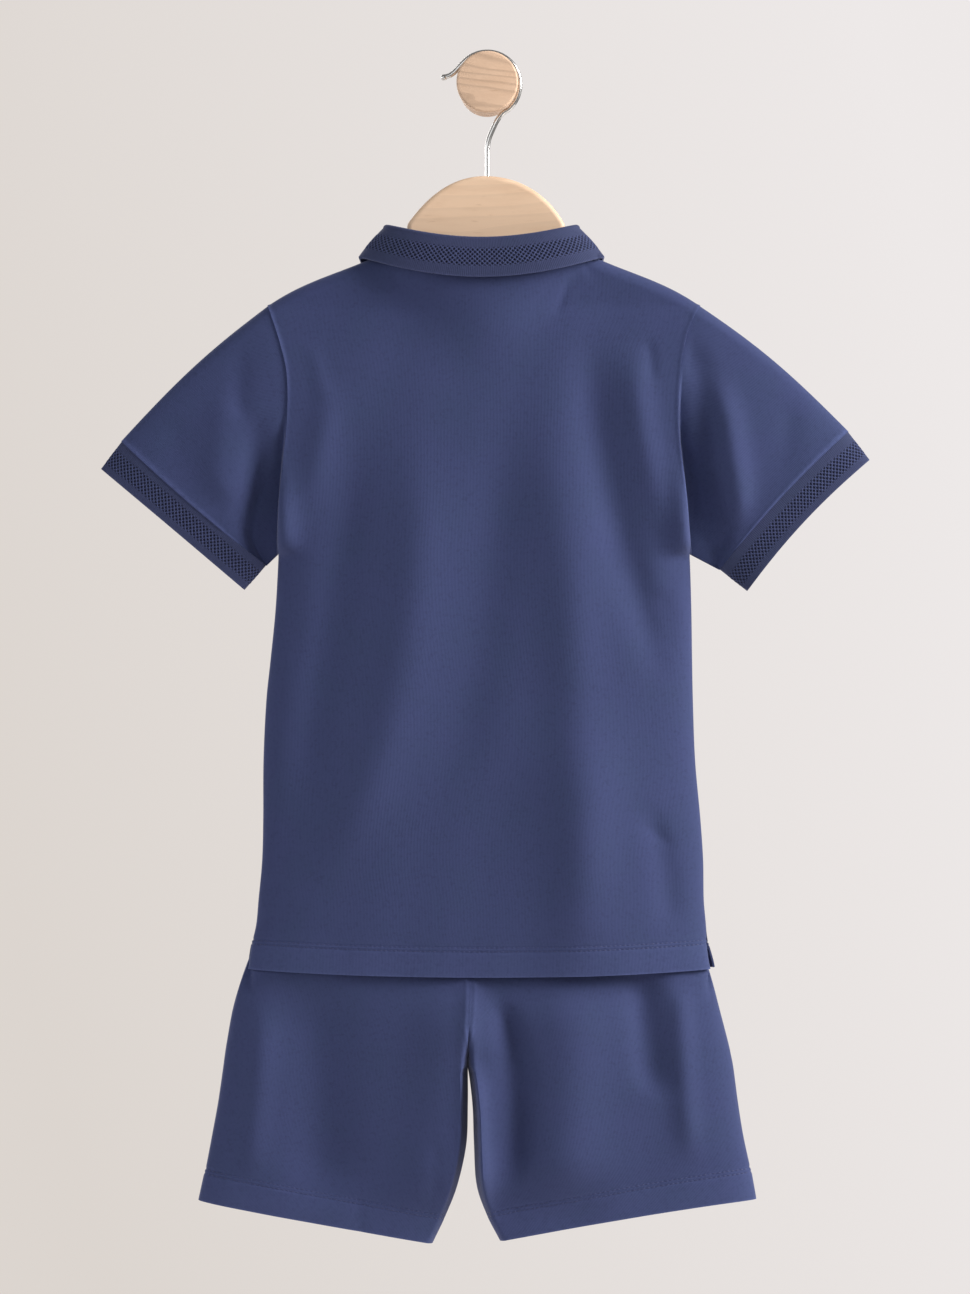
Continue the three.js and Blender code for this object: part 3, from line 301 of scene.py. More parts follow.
def top_edge(x, side):
    across = (x - NECK.x) / NECK.half
    gap = np.clip(1 - across ** 2, 0, 1)
    if side == "back":
        neck = NECK.z - NECK.back_drop * gap
    else:
        neck = NECK.z - NECK.front_drop * gap ** NECK.front_curve
    tip = np.where(x < 0, SHIRT[0, LEFT], SHIRT[0, RIGHT])
    end = NECK.x + np.sign(x) * NECK.half
    share = (x - end) / (tip - end)
    bow = SHOULDER_BOW.rise * np.maximum(share * (1 - share), 0) * (share - SHOULDER_BOW.turn)
    shoulder = mix(NECK.z, TIP_Z, share) + bow
    return np.where(np.abs(across) < 1, neck, shoulder)


def shirt_depth(x, z, side, fine=False):
    left, right, depth = (shirt_size(k, z) for k in (LEFT, RIGHT, DEPTH))
    u = np.clip((x - left) / (right - left), 0, 1)
    armhole = np.where(z > UNDERARM_Z, shirt_size(ARMHOLE, z), 0)
    vent = VENT_HALF_OPEN * smooth((VENT_TOP_Z - z) / (VENT_TOP_Z - HEM_Z))
    at_edge = armhole * quarter_round((z - UNDERARM_Z) / UNDERARM_ROUND) + vent
    inside = armhole * smooth((z - UNDERARM_Z) / UNDERARM_FADE) + vent
    from_edge = np.maximum(np.minimum(x - left, right - x), 0)
    below = top_edge(x, side) - z
    across = np.abs(x - NECK.x) / (NECK.half * (1 + np.maximum(below, 0) / NECK.spread))
    fade = smooth(np.minimum(u, 1 - u) / 0.12)
    folds = folds_at(SHIRT_FOLDS[side], x, z) * smooth(below / 60)
    if fine:
        wave = 0.5 * drift(x, z, 0.4 if side == "back" else 2.7) * smooth(below / 40)
        folds = FOLD_STRENGTH * folds + CREASE_STRENGTH * folds_at(SHIRT_CREASES[side], x, z) + wave
    round_ = crown(u)
    body = (depth * round_ + inside * (1 - round_) ** 1.2
            + (at_edge - inside) * bell(from_edge / EDGE_REACH) + folds * fade)
    hung = body * quarter_round(below / SHOULDER_ROUND)
    neck_depth = NECK.back_depth if side == "back" else NECK.front_depth
    oval_ = mix(oval(across), 1 - smooth(across), smooth(below / NECK.soften))
    neck = neck_depth * oval_ * (1 - smooth((below - NECK.fade_start) / NECK.fade))
    held = (neck ** NECK_BLEND + np.maximum(hung, 0) ** NECK_BLEND) ** (1 / NECK_BLEND)
    return np.where(across >= 1, hung, held)


def place(x, z, depth, facing):
    return np.stack(np.broadcast_arrays(x, HANG_Y + facing * depth, z), axis=-1)


def room_under_shirt(x, z, side):
    """How deep a piece may be to stay inside the shirt, a little way beside it too."""
    walls = [shirt_depth(x + beside, z, side, True) for beside in (-3, 0, 3)]
    return np.minimum.reduce(walls) - JERSEY_WALL - 2 * GAP


# Meshes from grids of points
def grid_normals(grid, row, column, facing, closed=False):
    """Unit normals of a grid, turned to face as told at one of its points. A closed grid goes round."""
    along = np.gradient(grid, axis=0)
    if closed:
        around = np.roll(grid, -1, axis=1) - np.roll(grid, 1, axis=1)
    else:
        around = np.gradient(grid, axis=1)
    normal = np.cross(along, around)
    normal = normal / np.maximum(np.linalg.norm(normal, axis=-1, keepdims=True), 1e-9)
    return normal if normal[row, column, 1] * facing > 0 else -normal


def lengths(grid, axis):
    steps = np.linalg.norm(np.diff(grid, axis=axis), axis=-1)
    start = np.zeros_like(np.take(steps, [0], axis=axis))
    return np.concatenate([start, np.cumsum(steps, axis=axis)], axis=axis)


def along_line(want, run, values):
    """The values of a line at the wanted lengths of its run."""
    return np.stack([np.interp(want, run, values[:, k]) for k in range(3)], axis=-1)


def tipped(points, angle):
    """Points turned about the x axis."""
    c, s = math.cos(angle), math.sin(angle)
    x, y, z = points.T
    return np.stack([x, c * y - s * z, s * y + c * z], axis=-1)


def linked(name, data):
    thing = bpy.data.objects.new(name, data)
    bpy.context.scene.collection.objects.link(thing)
    return thing


def smooth_piece(name, mesh, material, sharp):
    """A piece of the body, shaded smooth except over its sharp edges."""
    mesh.polygons.foreach_set("use_smooth", np.ones(len(mesh.polygons), bool))
    mesh.set_sharp_from_angle(angle=math.radians(sharp))
    mesh.update()
    mesh.materials.clear()
    mesh.materials.append(material)
    thing = linked(name, mesh)
    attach(thing, BODY)
    return thing


def make_object(name, verts, faces, material, uv=None, sharp=50, wear=None):
    mesh = bpy.data.meshes.new(name)
    mesh.from_pydata((np.asarray(verts) * MM).tolist(), [], faces)
    if uv is not None:
        mesh.uv_layers.new(name="cloth").data.foreach_set("uv", np.asarray(uv, np.float32).ravel())
    if wear is not None:
        layer = mesh.attributes.new("wear", "FLOAT", "POINT")
        layer.data.foreach_set("value", np.asarray(wear, np.float32).ravel())
    return smooth_piece(name, mesh, material, sharp)


def stand_for(node, piece):
    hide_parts(node)
    return piece


def cloth_wall(name, grid, normals, thick, material, closed=False, uv=None, wear=0.0):
    """A thin shell: the grid, the same grid moved in by its thickness, and the rims between."""
    rows, columns = grid.shape[:2]
    inner = grid - normals * thick
    verts = np.concatenate([grid.reshape(-1, 3), inner.reshape(-1, 3)])
    if uv is None:
        u, v = lengths(grid, 1), lengths(grid, 0)
        uv = np.stack([u - u.mean(axis=1, keepdims=True), -v], axis=-1)
    around = np.arange(columns if closed else columns - 1)
    i, j = np.meshgrid(np.arange(rows - 1), around, indexing="ij")
    i, j = i.ravel(), j.ravel()
    k = (j + 1) % columns
    at = lambda r, c: r * columns + c
    outer = np.stack([at(i, j), at(i + 1, j), at(i + 1, k), at(i, k)], axis=1)
    shift = rows * columns
    inner_faces = outer[:, ::-1] + shift
    j, k = around, (around + 1) % columns
    last = rows - 1
    top = np.stack([at(0, j), at(0, k), at(0, k) + shift, at(0, j) + shift], axis=1)
    bottom = np.stack([at(last, j), at(last, j) + shift, at(last, k) + shift, at(last, k)], axis=1)
    rims = [top, bottom]
    if not closed:
        r = np.arange(rows - 1)
        rims.append(np.stack([at(r, 0), at(r, 0) + shift, at(r + 1, 0) + shift, at(r + 1, 0)], axis=1))
        c = columns - 1
        rims.append(np.stack([at(r, c), at(r + 1, c), at(r + 1, c) + shift, at(r, c) + shift], axis=1))
    faces = np.concatenate([outer, inner_faces, *rims])
    flat = uv.reshape(-1, 2)
    corner = flat[faces % shift]
    if closed:
        # The last span goes on counting instead of running back to the start.
        turn = uv[:, -1, 0] - uv[:, 0, 0] + np.linalg.norm(grid[:, 0] - grid[:, -1], axis=-1)
        column, row = faces % shift % columns, faces % shift // columns
        wraps = (column.max(axis=1) == columns - 1) & (column.min(axis=1) == 0)
        add = np.where((column == 0) & wraps[:, None], turn[row], 0)
        corner = np.concatenate([corner[..., :1] + add[..., None], corner[..., 1:]], axis=-1)
    volume = np.einsum("ij,ij->i", verts[faces[:, 0]],
                       np.cross(verts[faces[:, 1]], verts[faces[:, 2]])
                       + np.cross(verts[faces[:, 2]], verts[faces[:, 3]])).sum()
    if volume < 0:
        faces, corner = faces[:, ::-1], corner[:, ::-1]
    worn_and_lit = np.tile(np.broadcast_to(wear, (rows, columns)).ravel(), 2)
    return make_object(name, verts, faces.tolist(), material, corner.reshape(-1, 2), wear=worn_and_lit)


def declare(piece, *nodes, with_pieces=(), rests_on=("hanger_body",)):
    """Hides the nodes of the frame that the cloth stands for."""
    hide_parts(*nodes)
    return piece


def stitches(name, runs, material, length=2.6, gap=0.6, radius=0.3):
    """Rows of short sewn threads. Each run is its points and the cloth's normals there."""
    verts, faces, spin = [], [], np.linspace(0, 2 * math.pi, 6, endpoint=False)
    for points, normals in runs:
        along = lengths(points[None], 1)[0]
        at = lambda s, values: along_line(s, along, values)
        for start in np.arange(gap, along[-1] - length, length + gap):
            first = len(verts)
            tangent = at(start + length, points) - at(start, points)
            tangent /= np.linalg.norm(tangent)
            for share, size, lift in ((0, 0.35, -0.16), (0.18, 1, 0.05), (0.82, 1, 0.05), (1, 0.35, -0.16)):
                s = start + share * length
                up = at(s, normals)
                sideways = np.cross(tangent, up)
                middle = at(s, points) + up * lift
                for angle in spin:
                    turn = math.cos(angle) * sideways + math.sin(angle) * up
                    verts.append(middle + radius * size * turn)
            for ring in range(3):
                for k in range(6):
                    a, b = first + ring * 6 + k, first + ring * 6 + (k + 1) % 6
                    faces.append((a, b, b + 6, a + 6))
            faces.append(tuple(first + k for k in reversed(range(6))))
            faces.append(tuple(first + 18 + k for k in range(6)))
    piece = make_object(name, verts, faces, material)
    return piece


def hem_stitches(name, grid, normals, hem, first, last):
    """The two rows of stitches that hold a hem, between two columns of the grid."""
    down = lengths(grid, 0)
    runs = []
    for row in (hem, hem + STITCH_ROWS):
        want, columns = down[-1] - row, range(grid.shape[1])[first:last]
        runs.append([np.array([along_line(want[j], down[:, j], values[:, j]) for j in columns])
                     for values in (grid, normals)])
    return stitches(name + "_hem_stitches", runs, thread())


def hem_relief(above, height):
    """Doubled cloth of a turned hem, drawn in along its two lines of stitches."""
    proud = 0.4 * (1 - smooth((above - height - 1) / 2.5))
    for line in (height, height + STITCH_ROWS):
        proud = proud - 0.5 * bell((above - line) / 0.8)
    return proud


def hem_wear(above, height):
    """How far washing has paled a turned hem: all over a little, its fold and its stitched edge more."""
    stitched = 0.2 * bell((above - height - 3.6) / 1.0)
    return 0.16 * (1 - smooth((above - height) / 3)) + 0.5 * bell(above / 0.9) + stitched


def eyelet(u, v, pitch, row):
    """1 in the middle of each small diamond hole of the mesh band, 0 on the yarns between."""
    a, b = u / pitch, v / (2 * row)
    return np.abs(np.cos(np.pi * (a + b)) * np.cos(np.pi * (a - b)))


def mesh_relief(u, above, edge, width, pitch, row, ends=1.0):
    """The band of open mesh: a little proud of the rib, and hollow at each hole."""
    holes = eyelet(u, above - edge, pitch, row)
    band = smooth((above - edge) / 0.5) * smooth((edge + width - above) / 0.5)
    return band * ends * (0.15 - 0.75 * smooth((holes - 0.25) / 0.5))


def spaced(*stretches):
    """Rising values: each stretch is its start, its end and its step."""
    values = [np.linspace(start, end, max(round((end - start) / step), 1), endpoint=False)
              for start, end, step in stretches]
    return np.append(np.concatenate(values), stretches[-1][1])


# Materials
class Nodes:
    """A material's node tree, with short calls to add to it."""

    def __init__(self, name):
        self.material = bpy.data.materials.new(name)
        self.material.use_nodes = True
        self.tree = self.material.node_tree
        self.shader = self.tree.nodes["Principled BSDF"]

    def put(self, socket, value):
        if isinstance(value, bpy.types.NodeSocket):
            self.tree.links.new(value, socket)
        else:
            socket.default_value = value

    def add(self, kind, inputs=None, **settings):
        node = self.tree.nodes.new(kind)
        for key, value in settings.items():
            setattr(node, key, value)
        for key, value in (inputs or {}).items():
            self.put(node.inputs[key], value)
        return node

    def where(self):
        return self.add("ShaderNodeTexCoord").outputs["Object"]

    def math(self, operation, *values):
        return self.add("ShaderNodeMath", dict(enumerate(values)), operation=operation).outputs[0]

    def plus(self, a, b):
        return self.math("ADD", a, b)

    def times(self, a, b):
        return self.math("MULTIPLY", a, b)

    def blend(self, share, a, b, mode="MIX"):
        node = self.add("ShaderNodeMix", data_type="RGBA", blend_type=mode)
        for key, value in ((0, share), (6, a), (7, b)):
            self.put(node.inputs[key], value)
        return node.outputs[2]

    def noise(self, vector, scale, detail=3.0, roughness=0.55):
        values = {"Scale": scale, "Detail": detail, "Roughness": roughness}
        return self.add("ShaderNodeTexNoise", {"Vector": vector, **values}).outputs["Fac"]

    def ramp(self, value, stops):
        node = self.add("ShaderNodeValToRGB", {"Fac": value})
        points = node.color_ramp.elements
        while len(points) < len(stops):
            points.new(0.5)
        for point, (position, colour) in zip(points, stops):
            point.position, point.color = position, (*colour[:3], 1)
        return node.outputs["Color"]

    def finish(self, colour, roughness, height=None, strength=0.4, distance=0.0003, **constants):
        self.put(self.shader.inputs["Base Color"], colour)
        self.put(self.shader.inputs["Roughness"], roughness)
        if height is not None:
            bump = self.add("ShaderNodeBump", {"Height": height, "Strength": strength, "Distance": distance})
            self.put(self.shader.inputs["Normal"], bump.outputs["Normal"])
        for key, value in constants.items():
            self.shader.inputs[key.replace("_", " ")].default_value = value
        return self.material


def tint(colour, factor):
    return (*[min(c * factor, 1) for c in colour[:3]], 1)


def knit_material(name, colour, wale=0.9, course=0.9, rib=False, band=None):
    """Cotton knit: fine cells or ribs with painted shade in their valleys, soft mottling, and for a rib its
    band of open mesh with painted shade in its holes and painted highlight on its yarns.
    """
    nodes = Nodes(name)
    uv = nodes.add("ShaderNodeUVMap", uv_map="cloth").outputs["UV"]
    parts = nodes.add("ShaderNodeSeparateXYZ", {"Vector": uv})
    u, v = parts.outputs["X"], parts.outputs["Y"]
    spot = nodes.where()
    across, down = (nodes.math("ABSOLUTE", nodes.math("SINE", nodes.times(value, math.pi / step)))
                    for value, step in ((u, wale), (v, course)))
    cells = across if rib else nodes.times(across, nodes.plus(0.35, nodes.times(down, 0.65)))
    fuzz = nodes.noise(spot, 1400, 2.0)
    patch = nodes.noise(spot, 34, 4.0, 0.6)
    grain = nodes.noise(spot, 420, 3.0, 0.7)
    cool, warm = ([c * k for c, k in zip(colour, factors)]
                  for factors in ((0.95, 0.99, 0.97), (1.05, 1.02, 1.03)))
    mottled = nodes.ramp(patch, [(0.32, cool), (0.5, colour), (0.68, warm)])
    speck = nodes.ramp(grain, [(0.32, (0.86, 0.86, 0.87)), (0.5, (1, 1, 1)), (0.7, (1.0, 1.0, 1.0))])
    shade = nodes.blend(1.0, mottled, speck, "MULTIPLY")
    # Painted shade: the valleys between the knit cells are darkened, as shade would fall in them.
    valley_shade = (0.62, 0.62, 0.66) if rib else (0.74, 0.74, 0.76)
    low = nodes.ramp(cells, [(0.0, valley_shade), (0.55, (1, 1, 1)), (1.0, (1, 1, 1))])
    shade = nodes.blend(0.9 if rib else 0.75, shade, low, "MULTIPLY")
    height = nodes.plus(cells, nodes.times(fuzz, 0.5))
    if band is not None:
        low_edge, high_edge, pitch, row = band
        a = nodes.times(u, math.pi / pitch)
        b = nodes.times(nodes.plus(v, -low_edge), math.pi / (2 * row))
        rising = nodes.math("COSINE", nodes.plus(a, b))
        hole = nodes.math("ABSOLUTE", nodes.times(rising, nodes.math("COSINE", nodes.math("SUBTRACT", a, b))))
        inside = nodes.times(nodes.math("GREATER_THAN", v, low_edge), nodes.math("LESS_THAN", v, high_edge))
        hole = nodes.times(hole, inside)
        # Painted shade and highlight: each hole of the mesh is darkened as if in shade, and the yarns between
        # are lightened as if catching the light.
        hole_shade_yarn_highlight = nodes.ramp(hole, [(0.0, (1.5, 1.52, 1.55)), (0.3, (1.1, 1.1, 1.1)), (0.7, (0.42, 0.4, 0.42))])
        shade = nodes.blend(inside, shade, nodes.blend(1.0, shade, hole_shade_yarn_highlight, "MULTIPLY"))
        height = nodes.math("SUBTRACT", height, nodes.times(hole, 1.6))
    # The attribute lightens the cloth where washing has paled hems, seams and edges, and paints a highlight
    # along the shirt's armhole edges.
    worn_and_lit = nodes.times(nodes.add("ShaderNodeAttribute", attribute_name="wear").outputs["Fac"],
                      nodes.plus(0.55, grain))
    shade = nodes.blend(worn_and_lit, shade, nodes.blend(1.0, shade, (1.75, 1.7, 1.6, 1), "MULTIPLY"))
    rough = nodes.plus(0.78, nodes.times(patch, 0.16))
    return nodes.finish(shade, rough, height, 0.35, 0.00025, Sheen_Weight=0.22, Sheen_Roughness=0.45,
                        Sheen_Tint=(0.62, 0.66, 0.95, 1), Specular_IOR_Level=0.25)


def thread_material(name, colour):
    nodes = Nodes(name)
    spot = nodes.where()
    twist = nodes.noise(spot, 2600, 2.0)
    shade = nodes.ramp(twist, [(0.3, tint(colour, 0.75)), (0.65, tint(colour, 1.25))])
    return nodes.finish(shade, 0.55, twist, 0.3, 0.0001, Sheen_Weight=0.3, Sheen_Roughness=0.4)


def wood_material(name, colour, stretch, rings, contrast):
    """Pale beech or pine: long grain lines, soft rings and small flecks along the grain."""
    nodes = Nodes(name)
    spot = nodes.where()
    long = nodes.add("ShaderNodeMapping", {"Vector": spot, "Scale": stretch}).outputs["Vector"]
    warp = nodes.noise(long, 7, 3.0)
    bent = nodes.add("ShaderNodeVectorMath", {0: long, 1: nodes.times(warp, 0.25)}, operation="ADD")
    rings_in = {"Vector": bent.outputs["Vector"], "Scale": rings, "Distortion": 2.2, "Detail": 3.0,
                "Detail Scale": 1.6}
    wave = nodes.add("ShaderNodeTexWave", rings_in, wave_type="BANDS", bands_direction="Z",
                     wave_profile="SAW").outputs["Fac"]
    fine = nodes.noise(long, 160, 4.0, 0.65)
    fleck = nodes.noise(long, 420, 2.0, 0.5)
    bands = nodes.ramp(wave, [(0.0, tint(colour, 1.02)), (0.55, colour), (0.86, tint(colour, 1 - contrast)),
                              (1.0, tint(colour, 1 - 0.5 * contrast))])
    fibre = nodes.ramp(fine, [(0.3, (0.93, 0.9, 0.87)), (0.55, (1, 1, 1)), (0.8, (1.0, 0.99, 0.98))])
    spots = nodes.ramp(fleck, [(0.22, (0.8, 0.74, 0.68)), (0.33, (1, 1, 1)), (1.0, (1, 1, 1))])
    shade = nodes.blend(0.8, nodes.blend(0.9, bands, fibre, "MULTIPLY"), spots, "MULTIPLY")
    rough = nodes.plus(0.42, nodes.times(fine, 0.2))
    return nodes.finish(shade, rough, nodes.plus(fine, wave), 0.06, 0.0002, Specular_IOR_Level=0.4)


def steel_material(name, colour):
    nodes = Nodes(name)
    spot = nodes.where()
    drawn = nodes.add("ShaderNodeMapping", {"Vector": spot, "Scale": (1, 1, 0.08)}).outputs["Vector"]
    streak = nodes.noise(drawn, 900, 3.0)
    shade = nodes.ramp(streak, [(0.3, tint(colour, 0.85)), (0.7, colour)])
    rough = nodes.plus(0.16, nodes.times(streak, 0.14))
    return nodes.finish(shade, rough, streak, 0.05, 0.0001, Metallic=1.0)


def resin_material(name, colour):
    nodes = Nodes(name)
    spot = nodes.where()
    cloud = nodes.noise(spot, 260, 4.0, 0.6)
    shade = nodes.ramp(cloud, [(0.3, tint(colour, 0.75)), (0.7, tint(colour, 1.3))])
    rough = nodes.plus(0.22, nodes.times(cloud, 0.15))
    return nodes.finish(shade, rough, cloud, 0.05, 0.0001, Coat_Weight=0.4)


# Settings that a user would change
COLOUR = dict(subtype="COLOR", size=4, min=0, max=1)


class ClothSettings(bpy.types.PropertyGroup):
    cloth: bpy.props.FloatProperty(name="Jersey thickness", description="Wall of the shirt and the shorts",
                                   default=JERSEY_WALL * MM, min=0.0005, max=0.003, unit="LENGTH")
    rib: bpy.props.FloatProperty(name="Rib thickness", description="Wall of the collar, cuffs and waistband",
                                 default=RIB_WALL * MM, min=0.0005, max=0.003, unit="LENGTH")
    cell: bpy.props.FloatProperty(name="Mesh cell", description="Distance between two holes of the mesh band",
                                  default=3.4 * MM, min=0.001, max=0.006, unit="LENGTH")
    hem: bpy.props.FloatProperty(name="Hem", description="Height of the shirt's turned hem",
                                 default=SHIRT_HEM * MM, min=0.005, max=0.04, unit="LENGTH")
    navy: bpy.props.FloatVectorProperty(name="Navy", description="Colour of the jersey",
                                        default=(0.0425, 0.0565, 0.148, 1), **COLOUR)
    navy_rib: bpy.props.FloatVectorProperty(name="Rib navy", description="Colour of the rib",
                                            default=(0.0375, 0.047, 0.112, 1), **COLOUR)
    button: bpy.props.FloatVectorProperty(name="Button", description="Colour of the buttons",
                                          default=(0.024, 0.028, 0.075, 1), **COLOUR)


class HangerSettings(bpy.types.PropertyGroup):
    wood: bpy.props.FloatVectorProperty(name="Hanger wood", description="Colour of the hanger",
                                        default=(0.82, 0.585, 0.405, 1), **COLOUR)
    peg_wood: bpy.props.FloatVectorProperty(name="Peg wood", description="Colour of the peg",
                                            default=(0.74, 0.515, 0.36, 1), **COLOUR)
    steel: bpy.props.FloatVectorProperty(name="Steel", description="Colour of the hook",
                                         default=(0.80, 0.79, 0.77, 1), **COLOUR)
    grain: bpy.props.FloatProperty(name="Grain", description="How dark the grain lines are", default=0.2,
                                   min=0, max=0.6, subtype="FACTOR")


class StageSettings(bpy.types.PropertyGroup):
    distance: bpy.props.FloatProperty(name="Camera distance", description="From the camera to the garment",
                                      default=3.3, min=1, max=10, unit="LENGTH")
    tall: bpy.props.FloatProperty(name="Height in view", description="Height that the picture shows",
                                  default=0.854, min=0.3, max=3, unit="LENGTH")
    key: bpy.props.FloatProperty(name="Key light", description="Power of the large light at the upper right",
                                 default=168, min=0, max=1000, unit="POWER")
    fill: bpy.props.FloatProperty(name="Fill light", description="Power of the soft light at the left",
                                  default=11, min=0, max=1000, unit="POWER")
    edge: bpy.props.FloatProperty(name="Edge light", description="Power of the light along the left edges",
                                  default=20, min=0, max=1000, unit="POWER")
    back_fill: bpy.props.FloatProperty(name="Back light", description="Power of the light from the wall side",
                                       default=26, min=0, max=1000, unit="POWER")
    pale: bpy.props.FloatVectorProperty(name="Stage colour", description="Colour of the floor and backdrop",
                                        default=(0.76, 0.72, 0.69, 1), **COLOUR)


def cloth_settings():
    return bpy.context.scene.garment_cloth


def shared(name, maker, *values, **options):
    """A material by name, made the first time it is asked for."""
    return bpy.data.materials.get(name) or maker(name, *values, **options)


def jersey():
    return shared("navy_jersey", knit_material, tuple(cloth_settings().navy), 0.95, 0.8)


def thread():
    red, green, blue = cloth_settings().navy[:3]
    return shared("navy_thread", thread_material, (0.5 * red, 0.55 * green, 0.75 * blue, 1))


# Pieces
NECK_SHARE = 0.29
HALF_U = spaced((0, 0.012, 0.002), (0.012, 0.05, 0.0045), (0.05, 0.5, 0.0085))
SHIRT_U = np.unique(np.concatenate([HALF_U, 1 - HALF_U]).round(6))
SHIRT_Z = -np.unique(np.concatenate([
    147 + spaced((0, 3, 0.4), (3, 12, 1.0), (12, 30, 2.2)),
    spaced((177, 545, 3.1), (545, 560, 1.6), (560, 569, 0.6), (569, 584, 1.3)),
]).round(4))


def column_top(u):
    """Where each column of the body starts along its top: on a shoulder, or at the neck."""
    across = np.clip((u - NECK_SHARE) / (1 - 2 * NECK_SHARE), 0, 1) - 0.5
    neck = NECK.x + NECK.half * np.sin(np.pi * across)
    start = mix(SHIRT[0, LEFT], NECK.x - NECK.half, u / NECK_SHARE)
    end = mix(SHIRT[0, RIGHT], NECK.x + NECK.half, (1 - u) / NECK_SHARE)
    return np.where(u < NECK_SHARE, start, np.where(u > 1 - NECK_SHARE, end, neck))


def shirt_grid(side):
    u, z = np.meshgrid(SHIRT_U, SHIRT_Z)
    left, right = shirt_size(LEFT, z), shirt_size(RIGHT, z)
    down = np.clip((TIP_Z - z) / (TIP_Z - UNDERARM_Z), 0, 1)
    top = column_top(u)
    spread = top - mix(SHIRT[0, LEFT], SHIRT[0, RIGHT], u)
    x = mix(left, right, u) + spread * (1 - smooth(down * 2))
    rise = (top_edge(top, side) - TIP_Z) * (1 - down)
    sag = HEM_DROP * smooth((SAG_TOP_Z - z) / (SAG_TOP_Z - HEM_Z)) * (1 - (2 * u - 1) ** 2)
    depth = shirt_depth(x, z + rise, side, True)
    # The slit at the right stands open: the back draws in and the front's corner curls out.
    open_ = smooth((VENT_TOP_Z - 2 - z) / VENT_GROW)
    at_right = smooth((u - 0.9) / 0.1)
    if side == "back":
        x = x - open_ * (VENT_BACK_RIGHT * at_right - VENT_BACK_LEFT * smooth((0.1 - u) / 0.1))
    else:
        x = x + open_ * VENT_FRONT_RIGHT * at_right
        depth = depth + open_ * VENT_CURL * smooth((u - 0.94) / 0.06)
    return place(x, z + rise - sag, depth, FACING[side])


class GARMENT_OT_shirt(bpy.types.Operator):
    """Knit the back and the front of the shirt, with their hems, armhole edges and stitches"""

    bl_idname = "garment.shirt"
    bl_label = "Shirt body"

    def execute(self, context):
        cloth = cloth_settings()
        hem = cloth.hem / MM
        for side in ("back", "front"):
            grid = shirt_grid(side)
            normals = grid_normals(grid, 60, 60, FACING[side])
            down, across, z = lengths(grid, 0), lengths(grid, 1), grid[..., 2]
            above = down[-1] - down
            edge = np.minimum(across, across[:, -1:] - across)
            armhole = smooth((z - UNDERARM_Z) / 10)
            raised = armhole * np.where(grid[..., 0] < 0, mix(0.4, 1, smooth((z - LEFT_EDGE_Z) / 60)), 1)
            relief = hem_relief(above, hem) + raised * 0.6 * bell(edge / 1.6)
            relief = relief - (1 - armhole) * 0.3 * bell(edge / 2.0)
            grid = grid + normals * relief[..., None]
            # Along its side edges the wall goes in less far, so that back and front meet.
            inward = normals.copy()
            inward[..., 1] *= np.where(edge < 0.4, 0.25, 1.0)
            # Washing pales the turned hem; the lightening along the armhole edges is painted highlight, kept
            # weak on the lower left, where that edge faces away from the key light.
            wear = 0.8 * raised ** 2 * bell(edge / 1.3) + hem_wear(above, hem)
            piece = cloth_wall("polo_" + side, grid, inward, cloth.cloth / MM, jersey(), wear=wear)
            sewn = hem_stitches("polo_" + side, grid, normals, hem, 4, -4)
            declare(piece, "shirt_" + side, with_pieces=[sewn])
        return {"FINISHED"}


def three_point(points, share):
    (ax, az), (bx, bz), (cx, cz) = points
    bow = lambda a, b, c: mix(a, c, share) + 4 * (b - (a + c) / 2) * share * (1 - share)
    return bow(ax, bx, cx), bow(az, bz, cz)


def there_and_back(steps):
    """Shares that go down a ring's back and up its front again, and which of them lie at the back."""
    share = 0.5 - 0.5 * np.cos(np.linspace(0, math.pi, steps))
    return np.concatenate([share, share[-2:0:-1]]), np.arange(2 * steps - 2) < steps


def sleeve_rings(which, stations, steps):
    """Rings of a sleeve: a station is 0 at the armhole, 1 at the cuff's seam, 2 at its open edge."""
    sleeve = SLEEVES[which]
    share, back = there_and_back(steps)
    s, share = np.meshgrid(stations, share, indexing="ij")
    back = np.broadcast_to(back, share.shape)
    z = mix(TIP_Z, UNDERARM_Z, share)
    root_x = shirt_size(sleeve["column"], z)
    seam_x, seam_z = three_point(sleeve["seam"], share)
    edge_x, edge_z = three_point(sleeve["edge"], share)
    depth = np.where(back, shirt_depth(root_x, z, "back"), shirt_depth(root_x, z, "front"))
    oval_ = np.maximum(1 - np.abs(2 * share - 1) ** CUFF_POWER, 0) ** (1 / CUFF_POWER)
    inward, beyond = np.clip(s, 0, 1), np.clip(s - 1, 0, 1)
    x = mix(mix(root_x, seam_x, inward), edge_x, beyond)
    height = mix(mix(z, seam_z, inward), edge_z, beyond) + SLEEVE_CROWN * np.sin(np.pi * inward) * (1 - share)
    limb = oval_ * mix(SLEEVE_SEAM_DEPTH, SLEEVE_EDGE_DEPTH, beyond)
    depth = mix(depth, limb, smooth(inward))
    return x, height, depth, share, np.where(back, -1, 1)


